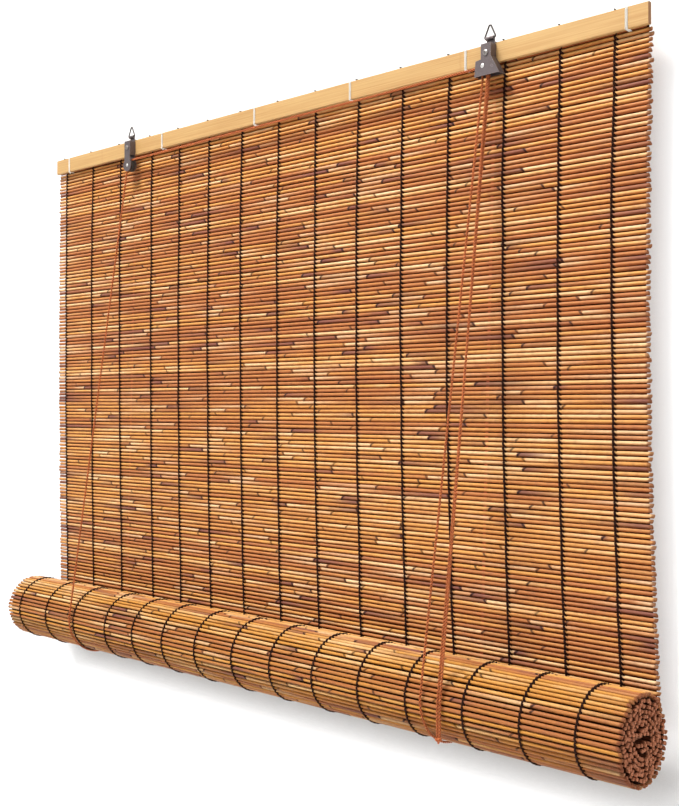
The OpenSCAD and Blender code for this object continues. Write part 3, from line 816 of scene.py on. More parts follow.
@dataclass(frozen=True)
class Twist:
    """How a cord or thread is laid up from its plies."""

    plies: int
    ply_radius: float
    lay_radius: float
    pitch: float
    sides: int = 5
    step: float = 1.6 * MM

    def frames(self, line: np.ndarray, closed: bool) -> Tuple[np.ndarray, np.ndarray]:
        """Two directions across a line at each point, carried along without twisting."""
        if closed:
            ahead = np.roll(line, -1, 0) - np.roll(line, 1, 0)
        else:
            ahead = np.gradient(line, axis=0)
        ahead /= np.linalg.norm(ahead, axis=1)[:, None]
        first = np.cross(ahead[0], (0.0, 1.0, 0.0))
        if np.linalg.norm(first) < 0.1:
            first = np.cross(ahead[0], (1.0, 0.0, 0.0))
        sides = [first / np.linalg.norm(first)]
        for way in ahead[1:]:
            carried = sides[-1] - way * (sides[-1] @ way)
            sides.append(carried / np.linalg.norm(carried))
        side = np.array(sides)
        return side, np.cross(ahead, side)

    def sweep(
        self, lines: Sequence[np.ndarray], name: str, finish: Finish, closed: bool = False
    ) -> bpy.types.Object:
        """Lays the plies along each line and returns them as one mesh.

        Args:
            lines: centre lines, already evenly spaced.
            name: the object's name.
            finish: its finish.
            closed: whether the lines are closed loops.

        Returns:
            The mesh object.
        """
        loft = Loft(self.sides)
        notes: List[np.ndarray] = []
        for line in lines:
            side, up = self.frames(line, closed)
            steps = np.linalg.norm(np.diff(line, axis=0), axis=1)
            run = np.concatenate([[0.0], np.cumsum(steps)])
            turns = run / self.pitch
            if closed:
                turns *= max(1.0, round(turns[-1])) / (turns[-1] * len(line) / (len(line) - 1))
            for ply in range(self.plies):
                lay = TURN * (turns + ply / self.plies)
                middle = line + self.lay_radius * (np.cos(lay)[:, None] * side + np.sin(lay)[:, None] * up)
                loft.tube(middle, self.ply_radius, side, up, lay, closed)
                for k in range(self.sides):
                    # ply_turn: 0 on a ply's outer side, 1 on its side towards the cord's middle, where the
                    # finish paints shade.
                    turn = np.full(len(run), 0.5 - 0.5 * math.cos(TURN * k / self.sides))
                    notes.append(np.stack([run, turn, np.full(len(run), ply / self.plies)], 1))
        found = np.concatenate(notes)
        named = {"ply_run": found[:, 0], "ply_turn": found[:, 1], "ply_index": found[:, 2]}
        return loft.mesh(name, finish, named)


def ring_faces(rings: int, sides: int, closed: bool = False) -> List[Tuple[int, ...]]:
    """Quads between neighbouring rings of points.

    Args:
        rings: the number of rings.
        sides: the number of points in each ring.
        closed: whether the last ring joins the first.

    Returns:
        The quads, as numbers of points.
    """
    faces = []
    for ring in range(rings if closed else rings - 1):
        here, there = ring * sides, (ring + 1) % rings * sides
        for k in range(sides):
            m = (k + 1) % sides
            faces.append((here + k, there + k, there + m, here + m))
    return faces


def mesh_object(
    name: str,
    points: np.ndarray,
    faces: Sequence[Tuple[int, ...]],
    finish: Finish,
    notes: Optional[Dict[str, np.ndarray]] = None,
) -> bpy.types.Object:
    """Makes a smooth mesh object.

    Args:
        name: the object's name.
        points: its points, one a row.
        faces: its faces, as numbers of points.
        finish: its finish.
        notes: values on its points, by attribute name.

    Returns:
        The object, at the origin.
    """
    mesh = bpy.data.meshes.new(name)
    mesh.from_pydata(points.tolist(), [], list(faces))
    for key, values in (notes or {}).items():
        layer = mesh.attributes.new(key, "FLOAT", "POINT")
        layer.data.foreach_set("value", np.asarray(values, np.float32))
    mesh.polygons.foreach_set("use_smooth", [True] * len(mesh.polygons))
    mesh.materials.append(finish.material())
    mesh.update()
    made = bpy.data.objects.new(name, mesh)
    bpy.context.scene.collection.objects.link(made)
    return made


@dataclass
class StitchField:
    """Warp stitches, one over each reed at each warp."""

    name: str
    course: Course
    finish: Finish
    rows: int
    first_row: int
    places: Sequence[float]
    reed_radius: float
    half_pitch: float
    thread: float
    tooth: float
    side: Side = Side.FRONT
    seed: int = 5
    mat_width: float = 1.0
    sway: float = 4 * MM
    sway_scale: Tuple[float, float] = (0.045, 9.3)
    jitter: float = 0.22 * MM

    def stitch(self) -> bpy.types.Object:
        """One stitch: a strand over the reed that kicks to the right between the rows, and one beside it."""
        out = self.reed_radius + self.thread * 0.75
        h = self.half_pitch
        lines = [
            [(-0.8, 0.35, 1.06), (-0.5, 0.90, 0.55), (-0.05, 1.0, 0.0),
             (0.4, 0.86, -0.55), (0.95, 0.42, -1.0), (0.2, 0.25, -1.16)],
            [(-1.15, 0.40, 1.0), (-0.95, 0.9, 0.4), (-0.7, 0.8, -0.5), (-0.4, 0.4, -1.06)],
        ]
        loft = Loft(4)
        for line in lines:
            path = np.array([(a * self.tooth, -b * out, c * h) for a, b, c in line])
            ahead = np.gradient(path, axis=0)
            ahead /= np.linalg.norm(ahead, axis=1)[:, None]
            across = np.cross(ahead, (1.0, 0.0, 0.0))
            across /= np.linalg.norm(across, axis=1)[:, None]
            loft.tube(path, self.thread, across, np.cross(ahead, across), TURN / 8)
        return loft.mesh(self.name + "_stitch", self.finish)

    def build(self) -> bpy.types.Object:
        """Sews the field and returns it as one mesh."""
        pattern = self.stitch()
        warps = len(self.places)
        tree = GeoTree(self.name)
        rows = tree.value("Rows", Kind.COUNT, self.rows)
        shape = tree.value("Stitch", Kind.SHAPE, pattern)
        first, step = self.places[0], (self.places[-1] - self.places[0]) / (warps - 1)
        left = tree.value("First warp", Kind.SIZE, first)
        gap = tree.value("Warp distance", Kind.SIZE, step)
        points = tree.node("GeometryNodePoints", {"Count": rows * warps})
        index = tree.node("GeometryNodeInputIndex")
        warp = tree.math("FLOOR", (index + 0.5) / rows)
        row = index - warp * rows + float(self.first_row)
        down, across = self.sway_scale
        sway = tree.noise(tree.vector(row * down, warp * across, float(self.seed)), 1.0, 1.0) - 0.5
        x = left + warp * gap + sway * self.sway + tree.random(-self.jitter, self.jitter, index, self.seed)
        for number, place in enumerate(self.places):
            mine = tree.math("COMPARE", warp, float(number), 0.5)
            x = x + mine * (place - first - number * step)
        share = x / self.mat_width + 0.5
        x = x + self.course.lean(row, share)
        y, z, turn = self.course.spot(tree, row, x)
        placed = tree.node("GeometryNodeSetPosition", {"Geometry": points, "Position": tree.vector(x, y, z)})
        stitch = tree.node("GeometryNodeObjectInfo", {"Object": shape}, "Geometry")
        spread = {"Points": placed, "Instance": stitch}
        spread["Rotation"] = tree.vector(turn, 0.0, self.side.value)
        stitches = tree.node("GeometryNodeInstanceOnPoints", spread)
        stitches = tree.store(stitches, "ply_run", tree.random(0.0, 1.0, index, self.seed + 1), "INSTANCE")
        stitches = tree.store(stitches, "ply_index", tree.random(0.0, 1.0, index, self.seed + 2), "INSTANCE")
        made = tree.bake(stitches, self.finish)
        bpy.data.objects.remove(pattern)
        return made


THREAD = PlyFinish("black_warp_thread", (0.026, 0.010, 0.007), (0.006, 0.002, 0.001), 1400.0, 0.72, 0.06)
WHITE = PlyFinish("white_tie_thread", (0.88, 0.86, 0.81), (0.74, 0.70, 0.63), 1400.0, 0.80)
CORD = PlyFinish("orange_brown_cord")
SHEET = MetalFinish("dark_pressed_sheet")
WIRE = MetalFinish("darkened_wire", (0.075, 0.065, 0.062), metallic=0.85, roughness=0.34, edge=0.2 * MM)
SCREW = MetalFinish(
    "plated_screw", (0.30, 0.27, 0.25), (0.72, 0.70, 0.67), metallic=0.95, roughness=0.26, edge=0.3 * MM,
)
RIVET = MetalFinish(
    "bright_rivet", (0.66, 0.64, 0.61), (0.85, 0.84, 0.82), (0.40, 0.36, 0.32),
    metallic=0.95, roughness=0.24, wear=0.6, edge=0.3 * MM,
)
NYLON = NylonFinish("moulded_nylon")
# Dark sheets of painted shade for the gaps of the hung mat and the inside of the roll.
GAP = GapShadeFinish("reed_gap", lines=((-0.3045, 0.035), (0.3205, 0.028)))
ROLL_GAP = GapShadeFinish("rolled_reed_gap", (0.016, 0.004, 0.001), (0.035, 0.009, 0.002))
BAMBOO = BambooFinish("planed_bamboo")
CORE_BAMBOO = BambooFinish("core_bamboo", (0.30, 0.12, 0.045), (0.20, 0.075, 0.030), (0.16, 0.055, 0.025))
REED = ReedFinish("dyed_reed")
# Rolled reeds: the mat's reed colours set a little darker, painted shade over the whole roll, with a more
# golden painted underside shade.
ROLL_REED = ReedFinish(
    "rolled_dyed_reed", golden=(0.58, 0.265, 0.050), amber=(0.40, 0.145, 0.046), pale=(0.84, 0.60, 0.33),
    underside_shade=(0.56, 0.42, 0.13), cut=(0.21, 0.066, 0.030), cut_length=1.6 * MM, plum_share=0.55,
)
LATH_END = BambooFinish("core_bamboo_end", end=(0.24, 0.085, 0.040), half_width=0.0)
# Reed stubs at the roll's ends: reed colours darkened many times over, painted shade among the stubs; the
# cut colour is the ends' own.
SHADED_END_REED = ReedFinish(
    "rolled_reed_end_shaded", golden=(0.10, 0.028, 0.012), amber=(0.06, 0.016, 0.007), plum=(0.04, 0.012, 0.008),
    pale=(0.16, 0.050, 0.022), cut=(0.44, 0.165, 0.084), cut_length=0.6 * MM,
)


@dataclass
class Shade:
    """Sizes of the shade that its parts share, with places read from the CAD frame."""

    joints: Dict[str, Any]
    mat_low: Vector = field(init=False)
    mat_high: Vector = field(init=False)
    axis: Vector = field(init=False)
    lift: float = field(init=False)
    pitch: float = 4.85 * MM
    tucked: int = 3
    hung: int = 135
    slot: float = 0.65 * MM
    roll_radius: float = 42.25 * MM
    turn_pitch: float = 5.2 * MM
    outer_power: float = 3.0
    fullness: float = 0.945
    joints_per_reed: int = 6
    warps_mm: Tuple[float, ...] = (
        -480, -411, -340, -266, -204, -142, -76, -7, 59, 128, 196, 262, 335, 402, 463,
    )

    def __post_init__(self) -> None:
        """Reads the frame's boxes and joints."""
        self.mat_low, self.mat_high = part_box("reed_mat")
        self.axis = Vector(self.joints["roll_spin"]["pos_m"])
        self.lift = self.joints["roll_lift"]["range_m"][1]

    @property
    def reed_radius(self) -> float:
        """Half a reed's thickness."""
        return (self.mat_high.y - self.mat_low.y) / 2

    @property
    def full_radius(self) -> float:
        """Half the thickness of a reed that touches its neighbours."""
        return self.reed_radius * self.fullness

    @property
    def mat_y(self) -> float:
        """Depth of the mat's middle."""
        return (self.mat_high.y + self.mat_low.y) / 2

    @property
    def warps(self) -> List[float]:
        """Places of the warps along the mat."""
        return [x * MM for x in self.warps_mm]

    def hung_course(self) -> HungCourse:
        """Rows of the hung mat."""
        top = self.mat_high.z - self.reed_radius - self.slot
        return HungCourse(self.mat_y, top, self.pitch, self.tucked + self.hung, self.tucked)

    def outer_course(self, slack: float = 0.0, shift: float = 0.0) -> RolledCourse:
        """Rows of the roll's outer turn, which stays full until it slips under the hung mat."""
        fall = self.turn_pitch / TURN
        return RolledCourse(
            self.axis.y, self.axis.z, self.roll_radius, fall, self.pitch,
            slack=slack, shift=shift, power=self.outer_power,
        )

    def inner_course(self, turn: float, pitch: float, slack: float) -> RolledCourse:
        """Rows of the inner turns, at the distances of two turns and of two rows."""
        radius = self.roll_radius - self.turn_pitch
        return RolledCourse(self.axis.y, self.axis.z, radius, turn / TURN, pitch, slack=slack)

    def squash(self, piece: bpy.types.Object, top: float, foot: float) -> None:
        """Gives a piece that hangs between the header and the roll a mesh of its own."""
        1.0 - self.lift / (top - foot)
        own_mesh(piece)


def settle(piece: bpy.types.Object, body: Body, slot: str, *nodes: str) -> bpy.types.Object:
    """Puts a piece on its body in place of CAD nodes.

    Args:
        piece: the finished piece.
        body: the body it rides on.
        slot: the record's material slot; not used.
        *nodes: the CAD nodes it stands for.

    Returns:
        The piece.
    """
    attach(piece, body.value)
    if nodes:
        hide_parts(*nodes)
    log.info("%s: %d faces on %s", piece.name, len(piece.data.polygons), body.value)
    return piece


@dataclass
class HungMat:
    """The mat as it hangs: reeds, warp stitches on both faces and thread tails at the header."""

    shade: Shade
    thread: float = 0.78 * MM
    tooth: float = 1.95 * MM
    back_thread: float = 0.66 * MM
    back_tooth: float = 1.40 * MM
    bare_rows: int = 3
    reed_seed: int = 11
    tail_seed: int = 3
    tail_spread: float = 1.2 * MM
    gap_shade_rows: int = 40
    gap_shade_half: float = 0.5 * MM
    gap_shade_left: float = 16 * MM
    gap_shade_right: float = 3.5 * MM
    gap_shade_end: float = 2 * MM
    gap_shade_depth: float = 0.4 * MM

    def build(self) -> None:
        """Makes and dresses the hung mat."""
        s = self.shade
        rows = s.tucked + s.hung
        width = s.mat_high.x - s.mat_low.x
        course = s.hung_course()
        reeds = ReedField(
            "mat_reeds", course, REED, rows, s.joints_per_reed, width, s.full_radius, self.reed_seed,
        ).build()
        settle(reeds, Body.HEADER, "mat_reed", "reed_mat")
        front = StitchField(
            "mat_warps_front", course, THREAD, s.hung - self.bare_rows, s.tucked, s.warps,
            s.full_radius, s.pitch / 2, self.thread, self.tooth,
        ).build()
        settle(front, Body.HEADER, "warp_thread", "warp_threads")
        back = StitchField(
            "mat_warps_back", course, THREAD, s.hung, s.tucked, s.warps,
            s.full_radius, s.pitch / 2, self.back_thread, self.back_tooth, Side.BACK,
        ).build()
        settle(back, Body.HEADER, "warp_thread")
        # A dark sheet of painted shade closes the gaps between the reeds.
        painted_gap_shade = settle(self.painted_gap_shade(course), Body.HEADER, "mat_reed")
        for piece in (reeds, front, back, painted_gap_shade):
            s.squash(piece, s.mat_high.z, s.mat_low.z)
        self.tails()

    def painted_gap_shade(self, course: HungCourse) -> bpy.types.Object:
        """Painted shade: a dark sheet in the mat's middle that closes its gaps, standing for the shade
        between the reeds.
        """
        s, rows = self.shade, self.gap_shade_rows
        top, foot = s.mat_high.z - self.gap_shade_end, s.mat_low.z + self.gap_shade_end
        front = s.mat_y + self.gap_shade_depth - self.gap_shade_half
        back = s.mat_y + self.gap_shade_depth + self.gap_shade_half
        points = []
        for u in np.linspace(0.0, 1.0, rows):
            bow = u * course.bow[0] + u * u * course.bow[1]
            left = s.mat_low.x + self.gap_shade_left + course.left_bow * bow
            right = s.mat_high.x - self.gap_shade_right + bow
            z = top + (foot - top) * u
            points += [(left, front, z), (right, front, z), (right, back, z), (left, back, z)]
        last = 4 * rows - 4
        faces = [*ring_faces(rows, 4), (0, 1, 2, 3), (last + 3, last + 2, last + 1, last)]
        return mesh_object("mat_binding", np.array(points), faces, GAP)

    def tails(self) -> None:
        """Ends of the warp threads, up behind the lath and over its top edge."""
        low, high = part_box("header_lath")
        rng = np.random.default_rng(self.tail_seed)
        twist = Twist(2, 0.60 * MM, 0.46 * MM, 3.6 * MM, step=0.8 * MM)
        y = self.shade.mat_y - self.shade.reed_radius - 0.35 * MM
        lines = []
        for x in self.shade.warps:
            a, b, _ = rng.uniform(-1.0, 1.0, 3) * self.tail_spread
            line = [
                (x, y, low.z - 1.0 * MM),
                (x + a * 0.5, y, high.z - 4 * MM),
                (x + a, high.y + 0.1 * MM, high.z + 0.5 * MM),
                (x + a + b * 0.4, high.y - 2.2 * MM, high.z + 0.75 * MM),
                (x + a + b, low.y + 0.5 * MM, high.z + 0.9 * MM),
            ]
            lines.append(eased(resampled(line, twist.step), 2))
        settle(twist.sweep(lines, "warp_tails", THREAD), Body.HEADER, "warp_thread")


@dataclass
class Roll:
    """The rolled-up part: outer turn, spiral of reed ends, a dark sheet of painted shade inside, lath end
    and warp threads.
    """

    shade: Shade
    grow: float = 8 * MM
    warp_shift: float = 7 * MM
    inner_turn: float = 4.5 * MM
    inner_pitch: float = 4.1 * MM
    inner_rows: int = 200
    inner_slack: float = 0.6 * MM
    outer_slack: float = 0.2 * MM
    outer_share: float = 0.935
    outer_ragged: float = 1.1 * MM
    outer_seed: int = 41
    stub: float = 46 * MM
    stub_share: float = 0.85
    stub_proud: float = 0.3 * MM
    stub_wander: float = 0.6 * MM
    turns_ragged: float = 1.8 * MM
    core_ragged: float = 2.2 * MM
    stub_seed: int = 61
    lath_reach: float = 6.5 * MM
    lath_ease: float = 0.6 * MM
    painted_shade_sheet: float = 0.35 * MM
    painted_shade_sheet_depth: float = 1.5 * MM
    painted_shade_sheet_sides: int = 48
    stop_share: float = 0.8
    stop_hole: float = 16 * MM
    thread: float = 0.80 * MM
    tooth: float = 1.15 * MM
    warp_seed: int = 23

    def build(self) -> None:
        """Makes and dresses the roll."""
        s = self.shade
        low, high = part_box("reed_roll")
        width = high.x - low.x + self.grow
        fall = s.turn_pitch / TURN
        outer_rows = int((TURN * s.roll_radius - fall * TURN**2 / 2) / s.pitch)
        skin = ReedField(
            "roll_outer_turn", s.outer_course(self.outer_slack), ROLL_REED, outer_rows, s.joints_per_reed,
            width, s.full_radius * self.outer_share, self.outer_seed,
            middle=self.grow / 2, ragged=self.outer_ragged,
        ).build()
        settle(skin, Body.ROLL, "roll_reed", "reed_roll")
        spiral = s.inner_course(self.inner_turn, self.inner_pitch, self.inner_slack)
        bundle = BundleCourse(s.axis.y, s.axis.z)
        for name, end, inwards in (("left", low.x, 1.0), ("right", high.x + self.grow, -1.0)):
            middle = end + inwards * (self.stub / 2 - self.stub_proud)
            for part, course, rows, ragged in (
                ("turns", spiral, self.inner_rows, self.turns_ragged),
                ("core", bundle, bundle.rows, self.core_ragged),
            ):
                stubs = ReedField(
                    f"roll_{name}_{part}", course, SHADED_END_REED, rows, 1,
                    self.stub, s.full_radius * self.stub_share, self.stub_seed,
                    middle=middle, ragged=ragged, wander=self.stub_wander, free_side=-inwards,
                ).build()
                settle(stubs, Body.ROLL, "roll_reed")
        settle(self.core(width), Body.ROLL, "roll_reed")
        settle(self.lath_end(), Body.ROLL, "core_bamboo")
        warps = StitchField(
            "roll_warps", s.outer_course(shift=self.warp_shift), THREAD, outer_rows - 1, 0, s.warps,
            s.full_radius, s.pitch / 2, self.thread, self.tooth, Side.FRONT, self.warp_seed,
        ).build()
        settle(warps, Body.ROLL, "warp_thread", "roll_warp_threads")

    def lath_end(self) -> bpy.types.Object:
        """End of the bottom lath among the reed ends on the right, its edges eased."""
        low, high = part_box("bottom_lath")
        x, ease = high.x + self.lath_reach, self.lath_ease
        points = []
        for place, inset in ((high.x - self.lath_reach, 0.0), (x - ease, 0.0), (x, ease)):
            y0, y1, z0, z1 = low.y + inset, high.y - inset, low.z + inset, high.z - inset
            points += [(place, y0, z0), (place, y1, z0), (place, y1, z1), (place, y0, z1)]
        faces = [face[::-1] for face in ring_faces(3, 4)]
        faces += [(3, 2, 1, 0), (8, 9, 10, 11)]
        made = mesh_object("bottom_lath_end", np.array(points), faces, LATH_END)
        made.data.polygons.foreach_set("use_smooth", [False] * len(made.data.polygons))
        return made

    def core(self, width: float) -> bpy.types.Object:
        """Painted shade inside the roll: a dark sheet under the outer turn, and a dark stop behind the reed
        ends.
        """
        s, sides = self.shade, self.painted_shade_sheet_sides
        deep, near = width / 2 - self.stub * self.stop_share, width / 2 - self.painted_shade_sheet_depth
        turns = np.arange(sides) / sides
        slip = s.turn_pitch * (1.0 - turns) ** s.outer_power * (turns > 0.0)
        outside = s.roll_radius - slip - s.full_radius * self.outer_share - self.painted_shade_sheet
        inside = outside - self.painted_shade_sheet
        hole = np.full(sides, self.stop_hole)
        rings = [(-deep, hole), (-deep, inside), (-near, inside), (-near, outside),
                 (near, outside), (near, inside), (deep, inside), (deep, hole)]
        points = []
        for x, radius in rings:
            y, z = s.axis.y + radius * np.cos(TURN * turns), s.axis.z + radius * np.sin(TURN * turns)
            points.append(np.stack([np.full(sides, x + self.grow / 2), y, z], 1))
        faces = [face[::-1] for face in ring_faces(len(rings), sides, True)]
        return mesh_object("roll_core", np.concatenate(points), faces, ROLL_GAP)


@dataclass
class Cords:
    """Lift cords, the cross strand, the two pull strands and their knot."""

    shade: Shade
    hangers: Tuple[float, float] = (-304.5 * MM, 320.5 * MM)
    radius: float = 1.15 * MM
    pulley: float = 7.4 * MM
    sheave: float = 4.2 * MM
    axle_shift: float = 4.5 * MM
    groove: float = 1.8 * MM
    wrap: float = 45.95 * MM
    front_drift: Tuple[float, float] = (36 * MM, 30 * MM)
    back_drift: Tuple[float, float] = (23 * MM, 18 * MM)
    pull_shift: float = 6 * MM
    pull_spread: float = 3.4 * MM
    pull_drop: float = 28 * MM
    mid_y: float = -3.04 * MM
    pulley_z: float = -53.7 * MM
    lock_axle_z: float = -42.1 * MM
    below_lock: float = -54.8 * MM
    below_pulley: float = -62.45 * MM
    guide_x: float = 308.35 * MM
    guide_z: float = -42.9 * MM
    guide_run: float = 4.6 * MM
    hole_z: float = -20.9 * MM
    hole_y: float = 5.5 * MM
    back_y: float = 14.21 * MM
    back_bend: float = 5.52 * MM
    gap: float = 0.12 * MM
    cross_step: float = 1.2 * MM
    route_spans: int = 34
    knot_size: float = 0.95 * MM
    knot_drop: float = 3.3 * MM

    @property
    def twist(self) -> Twist:
        """Three plies laid up to the cord's thickness."""
        return Twist(3, self.radius * 0.54, self.radius * 0.72, 9.6 * MM)

    @property
    def lock_x(self) -> float:
        """The lock sheave's axle along X."""
        return self.hangers[1] - self.axle_shift

    def on_roll(self, x: float, angle: float) -> Point:
        """A point of a cord that lies round the roll, at an angle in degrees."""
        a = math.radians(angle)
        axis = self.shade.axis
        return (x, axis.y + self.wrap * math.cos(a), axis.z + self.wrap * math.sin(a))

    def landing(self, y: float, z: float) -> float:
        """Angle in degrees at which a cord from (y, z) above meets the roll's front."""
        dy, dz = y - self.shade.axis.y, z - self.shade.axis.z
        return math.degrees(math.atan2(dz, dy) + math.acos(self.wrap / math.hypot(dy, dz)))

    def over(self, middle: Point, radius: float, first: float, last: float) -> List[Point]:
        """Points over a sheave's top, between two angles in degrees."""
        x, y, z = middle
        angles = np.radians(np.linspace(first, last, 9))
        return [(x + radius * math.cos(a), y, z + radius * math.sin(a)) for a in angles]

    def lay(self, name: str, body: Body, points: Sequence[Point], *nodes: str) -> bpy.types.Object:
        """Lays one twisted cord along points, on its body."""
        line = eased(resampled(points, self.twist.step), 2)
        return settle(self.twist.sweep([line], name, CORD), body, "cord", *nodes)

    def build(self) -> None:
        """Makes and dresses every cord."""
        self.pulls()
        left_x = self.hangers[0]
        tops = (
            (left_x - self.pulley, self.mid_y, self.below_pulley),
            (self.lock_x - self.sheave, self.mid_y + self.groove, self.below_lock),
        )
        for number, side in enumerate(("left", "right")):
            self.lift_cord(side, tops[number], number)
        front, back = self.mid_y - self.groove, self.mid_y + self.groove
        pull_x = self.lock_x + self.sheave
        left = [
            tops[0], *self.over((left_x, self.mid_y, self.pulley_z), self.pulley, 180, 90),
            (self.guide_x - self.guide_run, front, self.guide_z), (self.guide_x, front, self.guide_z),
            *self.over((self.lock_x, front, self.lock_axle_z), self.sheave, 135, 0),
            (pull_x, front, self.below_lock),
        ]
        right = [
            tops[1], *self.over((self.lock_x, back, self.lock_axle_z), self.sheave, 180, 0),
            (pull_x, back, self.below_lock),
        ]
        lines = [eased(resampled(points, self.cross_step), 1) for points in (left, right)]
        settle(self.twist.sweep(lines, "cross_strand", CORD), Body.HEADER, "cord", "cross_cord")

    def lift_cord(self, side: str, top: Point, number: int) -> None:
        """One lift cord: front strand, loop under the roll and back strand.

        Args:
            side: left or right.
            top: where the front strand leaves its sheave.
            number: 0 for the left cord, 1 for the right one.
        """
        x = self.hangers[number]
        front_x, back_x = x - self.front_drift[number], x - self.back_drift[number]
        first = self.landing(top[1], top[2])
        foot = Vector(self.on_roll(front_x, first))
        foot += (Vector(top) - foot).normalized() * self.gap
        strand = self.lay(f"{side}_front_strand", Body.HEADER, [top, tuple(foot)], f"{side}_front_cord")
        self.shade.squash(strand, top[2], foot.z)
        shares = np.linspace(0.0, 1.0, 60)
        loop = [self.on_roll(front_x + (back_x - front_x) * s, first + (360 - first) * s) for s in shares]
        self.lay(f"{side}_loop", Body.CRADLE, loop, f"{side}_cradle_cord")
        bend_y, bend_z = self.back_y - self.back_bend, self.hole_z - self.back_bend
        bend = [(x, bend_y + self.back_bend * math.cos(a), bend_z + self.back_bend * math.sin(a))
                for a in np.linspace(math.pi / 2, 0.0, 8)]
        end = Vector(self.on_roll(back_x, 360)) + Vector((0.0, 0.0, self.gap))
        points = [(x, self.hole_y, self.hole_z), *bend, tuple(end)]
        strand = self.lay(f"{side}_back_strand", Body.HEADER, points, f"{side}_back_cord")
        self.shade.squash(strand, self.hole_z, end.z)

    def pulls(self) -> None:
        """The two pull strands from the lock, knotted together below the roll's front."""
        pull_x = self.hangers[1] - self.pull_shift
        axis = self.shade.axis
        foot_z = axis.z - self.pull_drop
        knot = self.knot((pull_x, axis.y - self.wrap, foot_z - self.knot_drop))
        for name, groove, side in (("pull_strand_back", 1, -1), ("pull_strand_front", -1, 1)):
            top = (self.lock_x + self.sheave, self.mid_y + groove * self.groove, self.below_lock)
            x = pull_x + side * self.pull_spread / 2
            first = self.landing(top[1], top[2])
            arc = [self.on_roll(x, a) for a in np.linspace(first, 180.0, 6)]
            ends = [(x, axis.y - self.wrap, axis.z - self.pull_drop * s) for s in (0.25, 0.5, 0.8)]
            line = [top, *arc, *ends, (pull_x + side * 1.3 * MM, axis.y - self.wrap, foot_z - 1.0 * MM)]
            strand = self.lay(name, Body.HEADER, line, "pull_cords")
            path = eased(resampled(line, self.twist.step), 2)
            length = float(np.linalg.norm(np.diff(path, axis=0), axis=1).sum())
            route = resampled([tuple(p) for p in path], length / self.route_spans)
            2 * self.radius
            self.shade.squash(strand, top[2], foot_z)

    def knot(self, middle: Point) -> bpy.types.Object:
        """Overhand knot, drawn as a closed trefoil of cord."""
        t = np.linspace(0.0, TURN, 70, endpoint=False)
        x, z = np.sin(t) + 2 * np.sin(2 * t), np.cos(t) - 2 * np.cos(2 * t)
        loop = np.stack([x, 1.1 * np.sin(3 * t), z], 1) * self.knot_size + middle
        twist = Twist(3, self.radius * 0.5, self.radius * 0.46, 5.6 * MM)
        made = twist.sweep([loop], "pull_knot_tied", CORD, True)
        return settle(made, Body.CRADLE, "cord", "pull_knot")


@dataclass
class Header:
    """The bamboo lath, its white ties and the pressed fittings."""

    nodes: Dict[str, bpy.types.Object]
    tie_places: Tuple[float, ...] = (-0.466, -0.237, -0.047, 0.119, 0.287, 0.477)
    tie_inset: float = 0.30 * MM
    tie_gap: float = 1.0 * MM
    tail_step: float = 0.5 * MM
    tail_seed: int = 8

    def build(self) -> None:
        """Dresses the header."""
        finishes = {
            BAMBOO: ("header_lath",),
            CORE_BAMBOO: ("bottom_lath",),
            SHEET: (
                "left_hanger_plate", "left_pulley_cover", "right_hanger_plate",
                "lock_housing", "lock_cam", "lock_cam_pin",
            ),
            WIRE: ("left_ring", "right_ring"),
            SCREW: ("left_screw", "right_screw"),
            RIVET: ("left_axle", "lock_axle"),
            NYLON: ("left_pulley", "lock_sheave"),
            CORD: ("lift_cord_knots",),
        }
        for finish, names in finishes.items():
            for name in names:
                mesh = self.nodes[name].data
                mesh.materials.clear()
                mesh.materials.append(finish.material())
                log.info("%s: CAD solid in %s", name, finish.name)
        settle(self.ties(), Body.HEADER, "tie_thread", "header_ties")

    def ties(self) -> bpy.types.Object:
        """White threads, three strands side by side, round the lath and the rows behind it."""
        low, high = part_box("header_ties")
        front, back = low.y + self.tie_inset, high.y - self.tie_inset
        foot, top = low.z + self.tie_inset, high.z - self.tie_inset
        twist = Twist(2, 0.38 * MM, 0.30 * MM, 2.6 * MM, step=0.9 * MM)
        rng = np.random.default_rng(self.tail_seed)
        loops, tails = [], []
        for place in self.tie_places:
            for side in (-1, 0, 1):
                x = place + side * self.tie_gap
                corners = [(x, front, foot), (x, front, top), (x, back, top), (x, back, foot)]
                loops.append(eased(resampled(corners, twist.step, True), 1, True))
            a, b = rng.uniform(0.6, 1.4, 2) * MM
            tail = [
                (place, low.y, low.z + 0.4 * MM),
                (place + 1.2 * MM, low.y - 0.3 * MM, low.z - a),
                (place + 3.2 * MM, low.y + 0.2 * MM, low.z - 1.9 * b),
                (place + 4.6 * MM, low.y, low.z - 1.2 * a),
            ]
            tails.append(eased(resampled(tail, self.tail_step), 3))
        settle(twist.sweep(tails, "white_tie_tails", WHITE), Body.HEADER, "tie_thread")
        return twist.sweep(loops, "white_ties", WHITE, True)


@dataclass(frozen=True)
class Lamp:
    """One soft area lamp."""

    name: str
    place: Point
    size: Tuple[float, float]
    power: float
    tint: Colour

    def build(self, aim: Point) -> None:
        """Adds the lamp, turned towards its aim."""
        data = bpy.data.lights.new(self.name, "AREA")
        data.shape, data.size, data.size_y = "RECTANGLE", *self.size
        data.energy, data.color = self.power, self.tint
        made = bpy.data.objects.new(self.name, data)
        turn = (Vector(aim) - Vector(self.place)).to_track_quat("-Z", "Y")
        made.matrix_world = Matrix.Translation(self.place) @ turn.to_matrix().to_4x4()
        bpy.context.scene.collection.objects.link(made)


